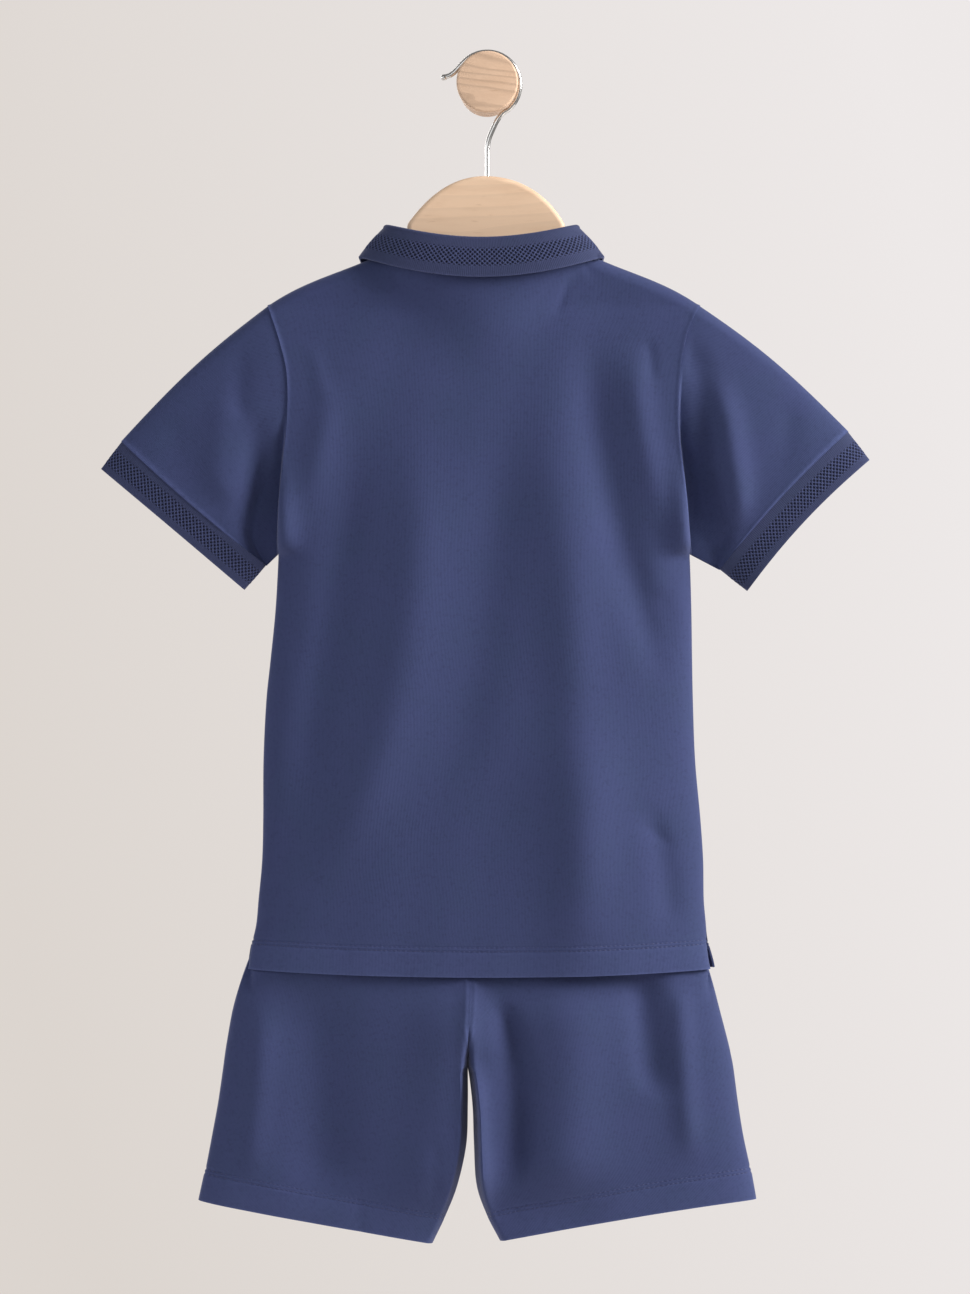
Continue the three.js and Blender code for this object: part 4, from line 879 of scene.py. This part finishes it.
class GARMENT_OT_sleeves(bpy.types.Operator):
    """Knit the two sleeves, set into the armholes a little below the edge of the body"""

    bl_idname = "garment.sleeves"
    bl_label = "Sleeves"

    def execute(self, context):
        thick = cloth_settings().cloth / MM
        stations = spaced((0, 0.024, 0.004), (0.024, 0.1, 0.01), (0.1, 0.9, 0.02), (0.9, 1.0, 0.01)).round(5)
        for which, sleeve in SLEEVES.items():
            x, z, depth, share, sign = sleeve_rings(which, stations, 66)
            s = stations[:, None]
            middle = np.sin(np.pi * share) ** 0.6
            folds = folds_at(SLEEVE_FOLDS[which], x, z) + 0.5 * drift(x, z, sleeve["phase"])
            folds = folds * middle * smooth((1 - s) / 0.3) * (0.5 + 0.5 * smooth(s / 0.07))
            folds = np.where(sign < 0, folds, 0.7 * folds)
            hollow = np.tanh(np.maximum(-folds, 0) / np.maximum(depth, 1) / 0.75)
            depth = depth * (1 - 0.75 * hollow) + np.maximum(folds, 0)
            root = mix(TIP_Z, UNDERARM_Z, share)
            out = np.abs(x - shirt_size(sleeve["column"], root))
            begin, grow = sleeve["tuck"]
            tucked = TUCK_DEPTH * smooth((begin - root) / grow)
            near_cuff = 1 - 0.55 * smooth((s - 0.72) / 0.26)
            fall = smooth(out / 1.6) * (1 - smooth((out - 3) / TUCK_REACH)) ** 1.7 * near_cuff
            seam_step = 0.5 + 0.7 * smooth((SEAM_STEP_Z - root) / 60)
            recess = seam_step * middle * (1 - smooth(out / 9)) + tucked * fall * middle ** 0.3
            recess = np.minimum(recess, 0.88 * depth) - 0.45 * bell((s - 0.985) / 0.014) * middle
            depth = np.maximum(depth - recess, 0)
            grid = place(x, z, depth, sign)
            normals = grid_normals(grid, 20, 30, FACING["back"], closed=True)
            wear = 0.75 * bell((s - 0.99) / 0.012) * np.ones_like(x)
            piece = cloth_wall("polo_sleeve_" + which, grid, normals, thick, jersey(), True, wear=wear)
            declare(piece, "sleeve_" + which)
        return {"FINISHED"}


def inset(ring, step):
    """Rings drawn in on themselves, square to their own outline."""
    along = np.roll(ring, -1, axis=1) - np.roll(ring, 1, axis=1)
    inward = ring.mean(axis=1, keepdims=True) - ring
    inward = inward - along * ((inward * along).sum(-1) / (along ** 2).sum(-1))[..., None]
    return ring + step * inward / np.linalg.norm(inward, axis=-1, keepdims=True)


class GARMENT_OT_cuffs(bpy.types.Operator):
    """Knit the two rib cuffs, each with its band of open mesh"""

    bl_idname = "garment.cuffs"
    bl_label = "Cuffs"

    def execute(self, context):
        cloth = cloth_settings()
        pitch = 0.88 * cloth.cell / MM
        row = CUFF_BAND / 7
        rib = shared("navy_rib_cuff", knit_material, tuple(cloth.navy_rib), 1.15, 1.0, True,
                     (CUFF_EDGE, CUFF_EDGE + CUFF_BAND, pitch, row))
        for which in ("left", "right"):
            stations = spaced((1.0, 1.3, 0.04), (1.3, 1.84, 0.0245), (1.84, 2.0, 0.05))
            x, z, depth, _, sign = sleeve_rings(which, stations, 220)
            grid = inset(place(x, z, depth, sign), CUFF_STEP)
            grid = np.concatenate([grid, grid[:, :1]], axis=1)
            around = lengths(grid, 1)
            girth = around[:, -1].mean()
            even = np.linspace(0, 1, 470, endpoint=False)
            grid = np.stack([along_line(even, ring / ring[-1], line) for ring, line in zip(around, grid)])
            normals = grid_normals(grid, 2, 60, FACING["back"], closed=True)
            down = lengths(grid, 0)
            above = down[-1] - down
            u = np.broadcast_to(even * round(girth / pitch) * pitch, above.shape)
            grid = grid + normals * mesh_relief(u, above, CUFF_EDGE, CUFF_BAND, pitch, row)[..., None]
            uv = np.stack([u, above], axis=-1)
            piece = cloth_wall("polo_cuff_" + which, grid, normals, cloth.rib / MM, rib, True, uv,
                               wear=0.4 * bell(above / 0.7))
            declare(piece, "cuff_" + which, rests_on=["polo_sleeve_" + which])
        return {"FINISHED"}


def collar_sections(degrees):
    """Sections of the folded collar: up the stand, over the fold and down the fall."""
    angle = np.radians(degrees)[:, None]
    degrees = np.asarray(degrees)[:, None]
    back = np.abs(degrees) <= 90
    gap = np.cos(angle) ** 2
    turn = np.abs(np.cos(angle))
    ridge = smooth(turn / COLLAR.ridge)
    round_ = oval(np.sin(angle))
    front = smooth((np.abs(degrees) - 90) / (COLLAR.end_angle - 90))
    within = np.where(back, degrees, np.sign(degrees) * (180 - np.abs(degrees)))
    neck_x = NECK.x + NECK.half * np.sin(np.radians(within))
    either = lambda f: np.where(back, f("back"), f("front"))
    seam_z = either(lambda side: top_edge(neck_x, side))
    seam_depth = either(lambda side: shirt_depth(neck_x, top_edge(neck_x, side), side))
    neck_z = seam_z + np.where(back, 2, 4) * GAP
    out = np.sin(angle)
    fold_x = COLLAR.x + COLLAR.fold_half * out
    fold_depth = round_ * np.where(back, NECK.back_depth + COLLAR.back_stand,
                                   NECK.front_depth + COLLAR.front_stand)
    drop = np.where(back, COLLAR.fold_drop * gap, COLLAR.fold_front_drop * gap ** NECK.front_curve)
    fold_z = COLLAR.fold_z - drop
    side_angle = np.sign(np.where(degrees == 0, 1, degrees)) * np.minimum(np.abs(angle), math.pi / 2)
    edge_x = mix(COLLAR.x + COLLAR.edge_half * np.sin(side_angle), np.sign(degrees) * COLLAR.point_x, front)
    edge_z = np.where(back, COLLAR.edge_z - COLLAR.edge_drop * gap,
                      mix(COLLAR.edge_z, COLLAR.point_z, front ** COLLAR.front_sweep))
    radius = COLLAR.fold_radius
    stand_depth = np.maximum(seam_depth - RIB_WALL, 0)
    inner_x, inner_depth = fold_x - out * 2 * radius, np.maximum(fold_depth - turn * 2 * radius, 0)
    stand = np.linspace(0, 1, 12)[None, :-1]
    sx = mix(neck_x - out, inner_x, stand ** 0.9)
    sz = mix(neck_z, fold_z - radius, stand)
    sd = mix(stand_depth, inner_depth, stand)
    bend = np.linspace(0, math.pi, 11)[None, :-1]
    over = (1 - np.cos(bend)) / 2
    fx, fz = mix(inner_x, fold_x, over), fold_z - radius + radius * np.sin(bend)
    fd = mix(inner_depth, fold_depth, over)
    edge_depth = np.where(back, (NECK.back_depth + COLLAR.fall_depth) * round_, 0)
    fall = np.linspace(0, 1, 46)[None, :]
    flare = np.sin(math.pi * fall) * COLLAR.flare
    lx = mix(fold_x, edge_x, fall) + out * flare
    lz = mix(fold_z - radius, edge_z, fall)
    ld = mix(fold_depth, edge_depth, fall) + turn * flare
    beside, lower = lx - np.sign(lx) * COLLAR.beside, lz - COLLAR.beside
    under = either(lambda side: np.maximum(shirt_depth(lx, lz, side), shirt_depth(beside, lower, side)))
    resting = (under + RIB_WALL + COLLAR.clear) * ridge
    ld = np.where(fall > 0, mix(ld, np.maximum(ld, resting), smooth(fall / 0.2)), ld)
    x, z, depth = (np.concatenate(parts, axis=1) for parts in ((sx, fx, lx), (sz, fz, lz), (sd, fd, ld)))
    return place(x, z, depth, np.where(back, -1, 1))


class GARMENT_OT_collar(bpy.types.Operator):
    """Knit the folded rib collar, with its band of open mesh along the fall"""

    bl_idname = "garment.collar"
    bl_label = "Collar"

    def execute(self, context):
        cloth = cloth_settings()
        pitch, row = cloth.cell / MM, COLLAR_BAND / 8
        rib = shared("navy_rib_collar", knit_material, tuple(cloth.navy_rib), 1.2, 1.0, True,
                     (COLLAR_EDGE, COLLAR_EDGE + COLLAR_BAND, pitch, row))
        grid = collar_sections(np.linspace(-COLLAR.end_angle, COLLAR.end_angle, 781))
        edge_run = lengths(grid[:, -12:-11], 0)[:, 0]
        even = np.linspace(0, edge_run[-1], 700)
        grid = np.stack([along_line(even, edge_run, grid[:, j]) for j in range(grid.shape[1])], axis=1)
        normals = grid_normals(grid, 380, -10, FACING["back"])
        across = lengths(grid, 1)
        above = across[:, -1:] - across
        u = np.broadcast_to((even - even[-1] / 2)[:, None], above.shape)
        ends = smooth(even[-1] / 2 - np.abs(u) - 3)
        grid = grid + normals * mesh_relief(u, above, COLLAR_EDGE, COLLAR_BAND, pitch, row, ends)[..., None]
        uv = np.stack([u, above], axis=-1)
        wear = 0.5 * bell(above / 0.8)
        piece = cloth_wall("polo_collar", grid, normals, cloth.rib / MM, rib, uv=uv, wear=wear)
        declare(piece, "collar", rests_on=["polo_back", "polo_front"])
        return {"FINISHED"}


def lathe(profile, spans, axis_place=(0, 0, 0), lean=0.0, flip=1):
    """Points and faces of a turned form about y, from (radius, height along y) pairs."""
    angles = np.linspace(0, 2 * math.pi, spans, endpoint=False)
    verts, faces = [], []
    for radius, height in profile:
        for angle in angles:
            verts.append((radius * math.cos(angle), flip * height, radius * math.sin(angle)))
    for i in range(len(profile) - 1):
        for k in range(spans):
            a, b = i * spans + k, i * spans + (k + 1) % spans
            faces.append((a, b, b + spans, a + spans))
    faces.append(tuple(range(spans - 1, -1, -1)))
    faces.append(tuple((len(profile) - 1) * spans + k for k in range(spans)))
    return tipped(np.array(verts), lean) + np.array(axis_place), faces


class GARMENT_OT_placket(bpy.types.Operator):
    """Sew the placket strip on the front, with its buttons and their thread"""

    bl_idname = "garment.placket"
    bl_label = "Placket and buttons"

    def execute(self, context):
        cloth = cloth_settings()
        thick = cloth.cloth / MM
        share, down = np.meshgrid(np.linspace(-0.5, 0.5, 37), np.linspace(0, 1, 120))
        x, z = NECK.x + share * PLACKET.width, PLACKET.top - PLACKET.length * down
        depth = shirt_depth(x, z, "front", True) + PLACKET.gap + thick
        side = np.minimum(share + 0.5, 0.5 - share) * PLACKET.width
        foot = PLACKET.length * (1 - down)
        relief = -0.3 * bell((side - 2) / 0.6) - 0.3 * bell((foot - 3) / 0.7) - 0.25 * bell(side / 0.5)
        grid = place(x, z, depth + relief, FACING["front"])
        normals = grid_normals(grid, 60, 18, FACING["front"])
        piece = cloth_wall("polo_placket", grid, normals, thick, jersey())
        sides_and_foot = ((slice(3, 119), 3), (slice(3, 119), 33), (117, slice(3, 34)))
        runs = [(grid[line], normals[line]) for line in sides_and_foot]
        sewn = stitches("polo_placket_stitches", runs, thread())
        declare(piece, "placket", with_pieces=[sewn], rests_on=["polo_front"])
        resin = shared("navy_resin", resin_material, tuple(cloth.button))
        for k in range(3):
            self.button(k, resin, thick)
        return {"FINISHED"}

    def button(self, k, resin, thick):
        radius, half = BUTTON.radius, BUTTON.thick / 2
        z = PLACKET.top - BUTTON.first - k * BUTTON.spacing
        depths = (shirt_depth(np.array(NECK.x), np.array(z + step), "front") for step in (-radius, 0, radius))
        low, seat, high = (float(HANG_Y + depth + PLACKET.gap + thick) for depth in depths)
        lean = math.atan2(low - high, 2 * radius)
        centre = np.array((NECK.x, max((low + high) / 2, seat) + GAP + half, z))
        rim = [(radius - 0.5, -half), (radius - 0.12, -half + 0.2), (radius, -half + 0.6)]
        rim += [(radius - step, half - drop) for step, drop in (
            (0, 0.6), (0.12, 0.22), (0.5, 0), (1.1, 0), (1.5, 0.3), (1.9, 0.6))]
        piece = make_object(f"polo_button_{k + 1}", *lathe(rim, 56, centre, lean), resin, sharp=40)
        holes = bmesh.new()
        hollow = [(0.55, -3.0), (0.55, 3.0)]
        for dx in (-BUTTON_HOLE, BUTTON_HOLE):
            for dz in (-BUTTON_HOLE, BUTTON_HOLE):
                hole, sides = lathe(hollow, 14, (dx, 0, dz))
                hole = hole + centre
                added = [holes.verts.new(p * MM) for p in hole]
                for face in sides:
                    holes.faces.new([added[i] for i in face])
        bmesh.ops.recalc_face_normals(holes, faces=holes.faces)
        mesh = bpy.data.meshes.new("button_holes")
        holes.to_mesh(mesh)
        holes.free()
        cutter = linked("button_holes", mesh)
        cut = piece.modifiers.new("holes", "BOOLEAN")
        cut.operation, cut.object, cut.solver = "DIFFERENCE", cutter, "EXACT"
        shown = piece.evaluated_get(bpy.context.evaluated_depsgraph_get())
        made = bpy.data.meshes.new_from_object(shown)
        piece.modifiers.clear()
        piece.data = made
        bpy.data.objects.remove(cutter)
        stand_for(f"button_{k + 1}", piece)
        lines = []
        for dx in (-BUTTON_HOLE, BUTTON_HOLE):
            a, b = (centre + np.array((dx, half - 0.45, dz)) for dz in (-1.5, 1.5))
            lines.append((np.linspace(a, b, 6), np.tile((0, 1.0, 0), (6, 1))))
        stitches(f"polo_button_{k + 1}_thread", lines, thread(), 2.4, 0.2, 0.34)


LEG_U = spaced((0, 0.02, 0.004), (0.02, 0.06, 0.008), (0.06, 0.94, 0.0155), (0.94, 0.97, 0.0075),
               (0.97, 1.0, 0.004))


def leg_grid(which, side):
    """One panel of the shorts, from its waist to its hem and from the side seam to the middle."""
    table = LEGS[which]
    index = np.arange(len(table), dtype=float)
    rows = spaced((0, 3, 0.25), (3, 11.0, 0.085), (11.0, 12.35, 0.06), (12.35, 13, 0.06))
    out_x, out_z, in_x, in_z, depth = (through(index, table[:, k], rows)[:, None] for k in range(5))
    seam = through(index[:9], np.append(LEGS["left"][:8, 2], SEAT_X), rows)[:, None]
    seam = seam + (0.15 if which == "left" else -0.15)
    leg = through(index[8:], np.append(SEAT_X, table[9:, 2]), rows)[:, None]
    in_x = np.where(rows[:, None] <= 8, seam, leg)
    u = LEG_U[None, :]
    x, z = mix(out_x, in_x, u), mix(out_z, in_z, u ** LEG_HEM_BEND[which])
    rise = smooth((z - CROTCH_Z) / CROTCH_RISE)
    opened = 1 - (1 - np.clip((z - CROTCH_Z) / CROTCH_ROUND, 0, 1)) ** CROTCH_POWER
    inner = 1 - (1 - quarter_round((1 - u) * np.abs(out_x - in_x) / INNER_ROUND)) * (1 - opened)
    fade, close = (smooth(u / out) * smooth((1 - u + rise) / in_) * smooth((SHORTS_FOLDS_Z - z) / 40)
                   for out, in_ in ((0.14, 0.03), (0.02, 0.02)))
    uneven = 0.5 * drift(x, z, 5.2 if side == "back" else 0.9)
    folds = FOLD_STRENGTH * folds_at(SHORTS_FOLDS[side], x, z) + uneven
    creases = CREASE_STRENGTH * folds_at(SHORTS_CREASES[side], x, z)
    own = (depth * crown(u, mix(LEG_INNER_SHARE, 1, rise)) + folds * fade + creases * close) * inner
    kept = np.maximum(np.minimum(own, room_under_shirt(x, np.maximum(z, HEM_Z), side)), 0)
    own = mix(kept, own, smooth((HEM_Z - 1 - z) / 22))
    return place(x, z, own, FACING[side])


class GARMENT_OT_shorts(bpy.types.Operator):
    """Sew the four panels of the shorts, with their hems and the seams at the middle and the sides"""

    bl_idname = "garment.shorts"
    bl_label = "Shorts"

    def execute(self, context):
        cloth = cloth_settings()
        hem = SHORTS_HEM
        for side in ("back", "front"):
            for which in ("left", "right"):
                grid = leg_grid(which, side)
                normals = grid_normals(grid, 60, 30, FACING[side])
                down, across = lengths(grid, 0), lengths(grid, 1)
                above = down[-1] - down
                inner = across[:, -1:] - across
                relief = hem_relief(above, hem)
                relief = relief - 0.4 * bell(inner / 1.2) + 0.35 * bell((inner - 3) / 1.5)
                relief = relief * smooth((SHORTS_SEAM_Z - grid[..., 2]) / 20) * smooth((inner - 0.3) / 1.2)
                grid = grid + normals * relief[..., None]
                name = f"shorts_{side}_{which}"
                seam_wear = 0.5 * bell((inner - 2.6) / 1.2) * smooth((SEAM_WEAR_Z - grid[..., 2]) / 10)
                wear = hem_wear(above, hem) + seam_wear
                piece = cloth_wall("play_" + name, grid, normals, cloth.cloth / MM, jersey(), wear=wear)
                sewn = hem_stitches("play_" + name, grid, normals, hem, 3, -2)
                declare(piece, name, with_pieces=[sewn], rests_on=["play_shorts_waistband"])
        return {"FINISHED"}


class GARMENT_OT_waistband(bpy.types.Operator):
    """Knit the gathered elastic waistband, inside the shirt"""

    bl_idname = "garment.waistband"
    bl_label = "Waistband"

    def execute(self, context):
        cloth = cloth_settings()
        u, back = there_and_back(150)
        z = np.linspace(WAIST_TOP_Z, WAIST_Z, 24)[:, None]
        left = LEGS["left"][0, 0] + (z - WAIST_Z) * 0.2
        right = LEGS["right"][0, 0] - (z - WAIST_Z) * 0.2
        x = mix(left, right, u)
        own = LEGS["left"][0, 4] * crown(u)
        depth = np.where(back, np.minimum(own * 1.06, room_under_shirt(x, z + 0 * x, "back")), own * 0.9)
        gather = 0.35 * np.sin(x * 1.9) * crown(u) * np.sin(math.pi * (z - WAIST_Z) / (WAIST_TOP_Z - WAIST_Z))
        depth = np.maximum(depth + gather - 0.35, 0)
        grid = place(x, z, depth, np.where(back, -1, 1))
        normals = grid_normals(grid, 10, 70, FACING["back"], closed=True)
        piece = cloth_wall("play_shorts_waistband", grid, normals, cloth.rib / MM, jersey(), True)
        declare(piece, "shorts_waistband", rests_on=["polo_back"])
        return {"FINISHED"}


def curve_mesh(name, curve, material, spot=(0, 0, 0), turn=0.0):
    """A curve turned into a mesh piece that stands in the frame's own axes."""
    maker = linked(name, curve)
    mesh = bpy.data.meshes.new_from_object(maker.evaluated_get(bpy.context.evaluated_depsgraph_get()))
    bpy.data.objects.remove(maker)
    points = np.empty(len(mesh.vertices) * 3)
    mesh.vertices.foreach_get("co", points)
    points = tipped(points.reshape(-1, 3), turn) + np.array(spot) * MM
    mesh.vertices.foreach_set("co", points.ravel())
    return smooth_piece(name, mesh, material, 35)


def bezier(a, b, c, d, count=26):
    t = np.linspace(0, 1, count)[:, None]
    a, b, c, d = (np.array(p, float) for p in (a, b, c, d))
    return ((1 - t) ** 3 * a + 3 * (1 - t) ** 2 * t * b + 3 * (1 - t) * t ** 2 * c + t ** 3 * d)[1:]


class GARMENT_OT_hanger(bpy.types.Operator):
    """Shape the wooden hanger with its arched crest"""

    bl_idname = "garment.hanger"
    bl_label = "Hanger"

    def execute(self, context):
        settings = context.scene.garment_hanger
        arm = lambda x: float(top_edge(np.array(x), "back")) - JERSEY_WALL - HANGER.clear
        left, right = NECK.x - NECK.half, NECK.x + NECK.half
        inset_ = HANGER.bevel
        lx, rx = HANGER.left_tip, HANGER.right_tip
        lz, rz = arm(lx), arm(rx)
        left_foot, right_foot, top = (-49.6, -94), (48, -94), (-1.5, HANGER.crest_z - inset_)
        base, tall = HANGER.base_z + inset_, HANGER.tip_height
        neck_l = (left, arm(left) - inset_ - HANGER.neck_drop)
        neck_r = (right, arm(right) - inset_ - HANGER.neck_drop)
        start, far = (lx + inset_, lz - inset_ - 1), (rx - inset_, rz - inset_ - 1)
        outline = [np.array([start]), np.array([neck_l]),
                   bezier(neck_l, (-54.5, -114), (-51.5, -106), left_foot),
                   bezier(left_foot, (-42, -84), (-27, top[1]), top),
                   bezier(top, (25, top[1]), (41, -81), right_foot),
                   bezier(right_foot, (49, -106), (51.5, -114), neck_r), np.array([far])]
        tip_r = (rx - 6, rz - tall)
        outline.append(bezier(far, (rx - 0.6, rz - 6.6), (rx - 1, rz - 9.5), tip_r, 8))
        outline.append(bezier(tip_r, (80, -136), (44, base), (0, base)))
        tip_l = (lx + 6, lz - tall)
        outline.append(bezier((0, base), (-44, base), (-82, -136), tip_l))
        outline.append(bezier(tip_l, (lx + 1, lz - 9.5), (lx + 0.6, lz - 6.6), start, 8)[:-1])
        points = np.concatenate(outline)
        curve = bpy.data.curves.new("hanger_outline", "CURVE")
        curve.dimensions, curve.fill_mode = "2D", "BOTH"
        curve.bevel_depth, curve.bevel_resolution = inset_ * MM, 5
        curve.extrude = (HANGER.thick / 2 - inset_) * MM
        line = curve.splines.new("POLY")
        line.points.add(len(points) - 1)
        line.points.foreach_set("co", np.c_[points * MM, np.zeros(len(points)), np.ones(len(points))].ravel())
        line.use_cyclic_u = True
        wood = shared("hanger_beech", wood_material, tuple(settings.wood), (0.16, 1.0, 1.0), 34.0,
                      0.2 * settings.grain)
        stand_for("hanger_body", curve_mesh("hanger_wood", curve, wood, (0, HANG_Y, 0), math.pi / 2))
        return {"FINISHED"}


class GARMENT_OT_hook(bpy.types.Operator):
    """Bend the steel hook round the peg"""

    bl_idname = "garment.hook"
    bl_label = "Hook"

    def execute(self, context):
        settings = context.scene.garment_hanger
        bend, middle = HOOK.radius, PEG.neck + GAP + HOOK.wire - HOOK.radius
        angles = np.radians(np.arange(-62, 150.1, 11.8))
        arc = [(bend * math.cos(a), middle + bend * math.sin(a)) for a in angles]
        route = [(0, HANGER.crest_z - 3), (0, HANGER.crest_z + GAP), (0, -52), (0.4, -40), (3.2, -31.5), *arc,
                 (-24, 5.6), (-29.0, 3.8)]
        curve = bpy.data.curves.new("hook_line", "CURVE")
        curve.dimensions, curve.bevel_depth, curve.bevel_resolution = "3D", HOOK.wire * MM, 6
        curve.use_fill_caps = True
        curve.resolution_u = 10
        line = curve.splines.new("BEZIER")
        line.bezier_points.add(len(route) - 1)
        for point, (x, z) in zip(line.bezier_points, route):
            point.co = (x * MM, HANG_Y * MM, z * MM)
            point.handle_left_type = point.handle_right_type = "AUTO"
        steel = shared("hook_steel", steel_material, tuple(settings.steel))
        stand_for("hanger_hook", curve_mesh("hook_wire", curve, steel))
        end = [(0.3, -2.0), (1.5, -1.7), (2.0, -0.8), (2.1, 0), (2.0, 0.8), (1.5, 1.5), (0.3, 1.9)]
        verts, faces = lathe(end, 32, lean=math.radians(20))
        verts = verts[:, (1, 0, 2)] + np.array((-28.6, HANG_Y, 3.9))
        knob = make_object("hook_end", verts, faces, steel, sharp=60)
        return {"FINISHED"}


class GARMENT_OT_peg(bpy.types.Operator):
    """Turn the round wooden wall peg"""

    bl_idname = "garment.peg"
    bl_label = "Peg"

    def execute(self, context):
        settings = context.scene.garment_hanger
        front = -HANG_Y + HOOK.wire + 0.8
        end, disc, soft = front + PEG.thick, PEG.disc, PEG.round
        neck = PEG.neck
        profile = [(0.5, 0), (neck, 0), (neck, front - 0.4), (neck + 0.4, front), (disc - 0.6, front),
                   (disc - 0.15, front + 0.2), (disc, front + 0.6)]
        for degrees in range(0, 91, 15):
            a = math.radians(degrees)
            profile.append((disc - soft + soft * math.cos(a), end - soft + soft * math.sin(a)))
        profile.append((0.5, end))
        verts, faces = lathe(profile, 96, flip=-1)
        wood = shared("peg_pine", wood_material, tuple(settings.peg_wood), (0.12, 1.0, 1.0), 62.0,
                      settings.grain)
        stand_for("wall_peg", make_object("peg_wood", verts, faces, wood, sharp=35))
        return {"FINISHED"}


def flat_plane(name, corners, material):
    mesh = bpy.data.meshes.new(name)
    mesh.from_pydata([tuple(c) for c in corners], [], [(0, 1, 2, 3)])
    mesh.materials.append(material)
    linked(name, mesh)


def soft_light(name, spot, size, power, colour):
    data = bpy.data.lights.new(name, "AREA")
    data.shape, data.size, data.energy, data.color = "SQUARE", size, power, colour
    aim(linked(name, data), spot, PICTURE_MIDDLE)


def aim(thing, spot, target):
    thing.location = spot
    thing.rotation_mode = "QUATERNION"
    thing.rotation_quaternion = (Vector(target) - Vector(spot)).to_track_quat("-Z", "Y")


# The stage, in metres, and its lamps: name, place, size and colour.
PICTURE_MIDDLE = (-0.0015, HANG_Y * MM, -0.372)
SENSOR_WIDTH = 36
FLOOR_Z = -1.25
BACKDROP_Y = 6.0
SKY_COLOUR, SKY_STRENGTH = (0.76, 0.73, 0.72, 1), 0.26
LAMPS = (
    ("key", (2.75, -0.9, 1.0), 1.7, (1, 0.99, 0.98)), ("fill", (-0.9, -2.6, 0.5), 1.6, (0.97, 0.98, 1)),
    ("edge", (-2.5, -0.6, 0.0), 1.2, (0.95, 0.97, 1)), ("back_fill", (-1.2, 2.4, 0.5), 1.8, (1, 0.99, 0.97)),
)


class GARMENT_OT_stage(bpy.types.Operator):
    """Set the pale floor and backdrop, the soft lights and the camera"""

    bl_idname = "garment.stage"
    bl_label = "Stage"

    def execute(self, context):
        settings = context.scene.garment_stage
        camera = bpy.data.cameras.new("camera")
        camera.sensor_width = SENSOR_WIDTH
        camera.lens = SENSOR_WIDTH * settings.distance / settings.tall
        viewer = linked("camera", camera)
        x, y, z = PICTURE_MIDDLE
        aim(viewer, (x, y - settings.distance, z), PICTURE_MIDDLE)
        context.scene.camera = viewer
        nodes = Nodes("pale_stage")
        pale = tuple(settings.pale)
        tone = nodes.ramp(nodes.noise(nodes.where(), 1.5, 2.0), [(0.3, tint(pale, 0.98)), (0.7, pale)])
        stage = nodes.finish(tone, 0.9)
        square = ((-1, -1), (1, -1), (1, 1), (-1, 1))
        flat_plane("stage_floor", [(2 * x, 2 * y, FLOOR_Z) for x, y in square], stage)
        # Painted light: the backdrop glows by itself and is painted brighter to the right and towards the
        # top, as if lit from the upper right.
        glow = Nodes("pale_backdrop")
        parts = glow.add("ShaderNodeSeparateXYZ", {"Vector": glow.where()}).outputs
        painted_light_slant = glow.plus(glow.times(parts["X"], 0.5), glow.times(parts["Z"], 0.12))
        tone = glow.ramp(glow.plus(painted_light_slant, 0.545), [(0.0, (0.715, 0.665, 0.625)), (1.0, (0.85, 0.815, 0.81))])
        emit = glow.add("ShaderNodeEmission", {"Color": tone, "Strength": 1.0})
        glow.tree.links.new(emit.outputs[0], glow.tree.nodes["Material Output"].inputs["Surface"])
        flat_plane("stage_backdrop", [(4 * x, BACKDROP_Y, 4 * z) for x, z in square], glow.material)
        for name, spot, size, colour in LAMPS:
            soft_light(name, spot, size, getattr(settings, name), colour)
        world = bpy.data.worlds.new("studio")
        world.use_nodes = True
        sky = world.node_tree.nodes["Background"]
        sky.inputs["Color"].default_value, sky.inputs["Strength"].default_value = SKY_COLOUR, SKY_STRENGTH
        context.scene.world = world
        context.scene.view_settings.view_transform = "Standard"
        return {"FINISHED"}


PIECES = (GARMENT_OT_waistband, GARMENT_OT_shorts, GARMENT_OT_shirt, GARMENT_OT_sleeves, GARMENT_OT_cuffs,
          GARMENT_OT_collar, GARMENT_OT_placket, GARMENT_OT_hanger, GARMENT_OT_hook, GARMENT_OT_peg,
          GARMENT_OT_stage)
SETTINGS = {"garment_cloth": ClothSettings, "garment_hanger": HangerSettings, "garment_stage": StageSettings}


class GARMENT_PT_pieces(bpy.types.Panel):
    """The pieces of the garment and its stage, with their settings"""

    bl_label = "Garment"
    bl_idname = "GARMENT_PT_pieces"
    bl_space_type = "VIEW_3D"
    bl_region_type = "UI"
    bl_category = "Garment"

    def draw(self, context):
        for key, group in SETTINGS.items():
            box = self.layout.box()
            for name in group.__annotations__:
                box.prop(getattr(context.scene, key), name)
        for piece in PIECES:
            self.layout.operator(piece.bl_idname)


def register():
    for group in (*SETTINGS.values(), *PIECES, GARMENT_PT_pieces):
        bpy.utils.register_class(group)
    for key, group in SETTINGS.items():
        setattr(bpy.types.Scene, key, bpy.props.PointerProperty(type=group))


def unregister():
    for key in SETTINGS:
        delattr(bpy.types.Scene, key)
    for group in (GARMENT_PT_pieces, *reversed(PIECES), *SETTINGS.values()):
        bpy.utils.unregister_class(group)


def main():
    register()
    for piece in PIECES:
        family, name = piece.bl_idname.split(".")
        getattr(getattr(bpy.ops, family), name)()


if __name__ == "__main__":
    main()
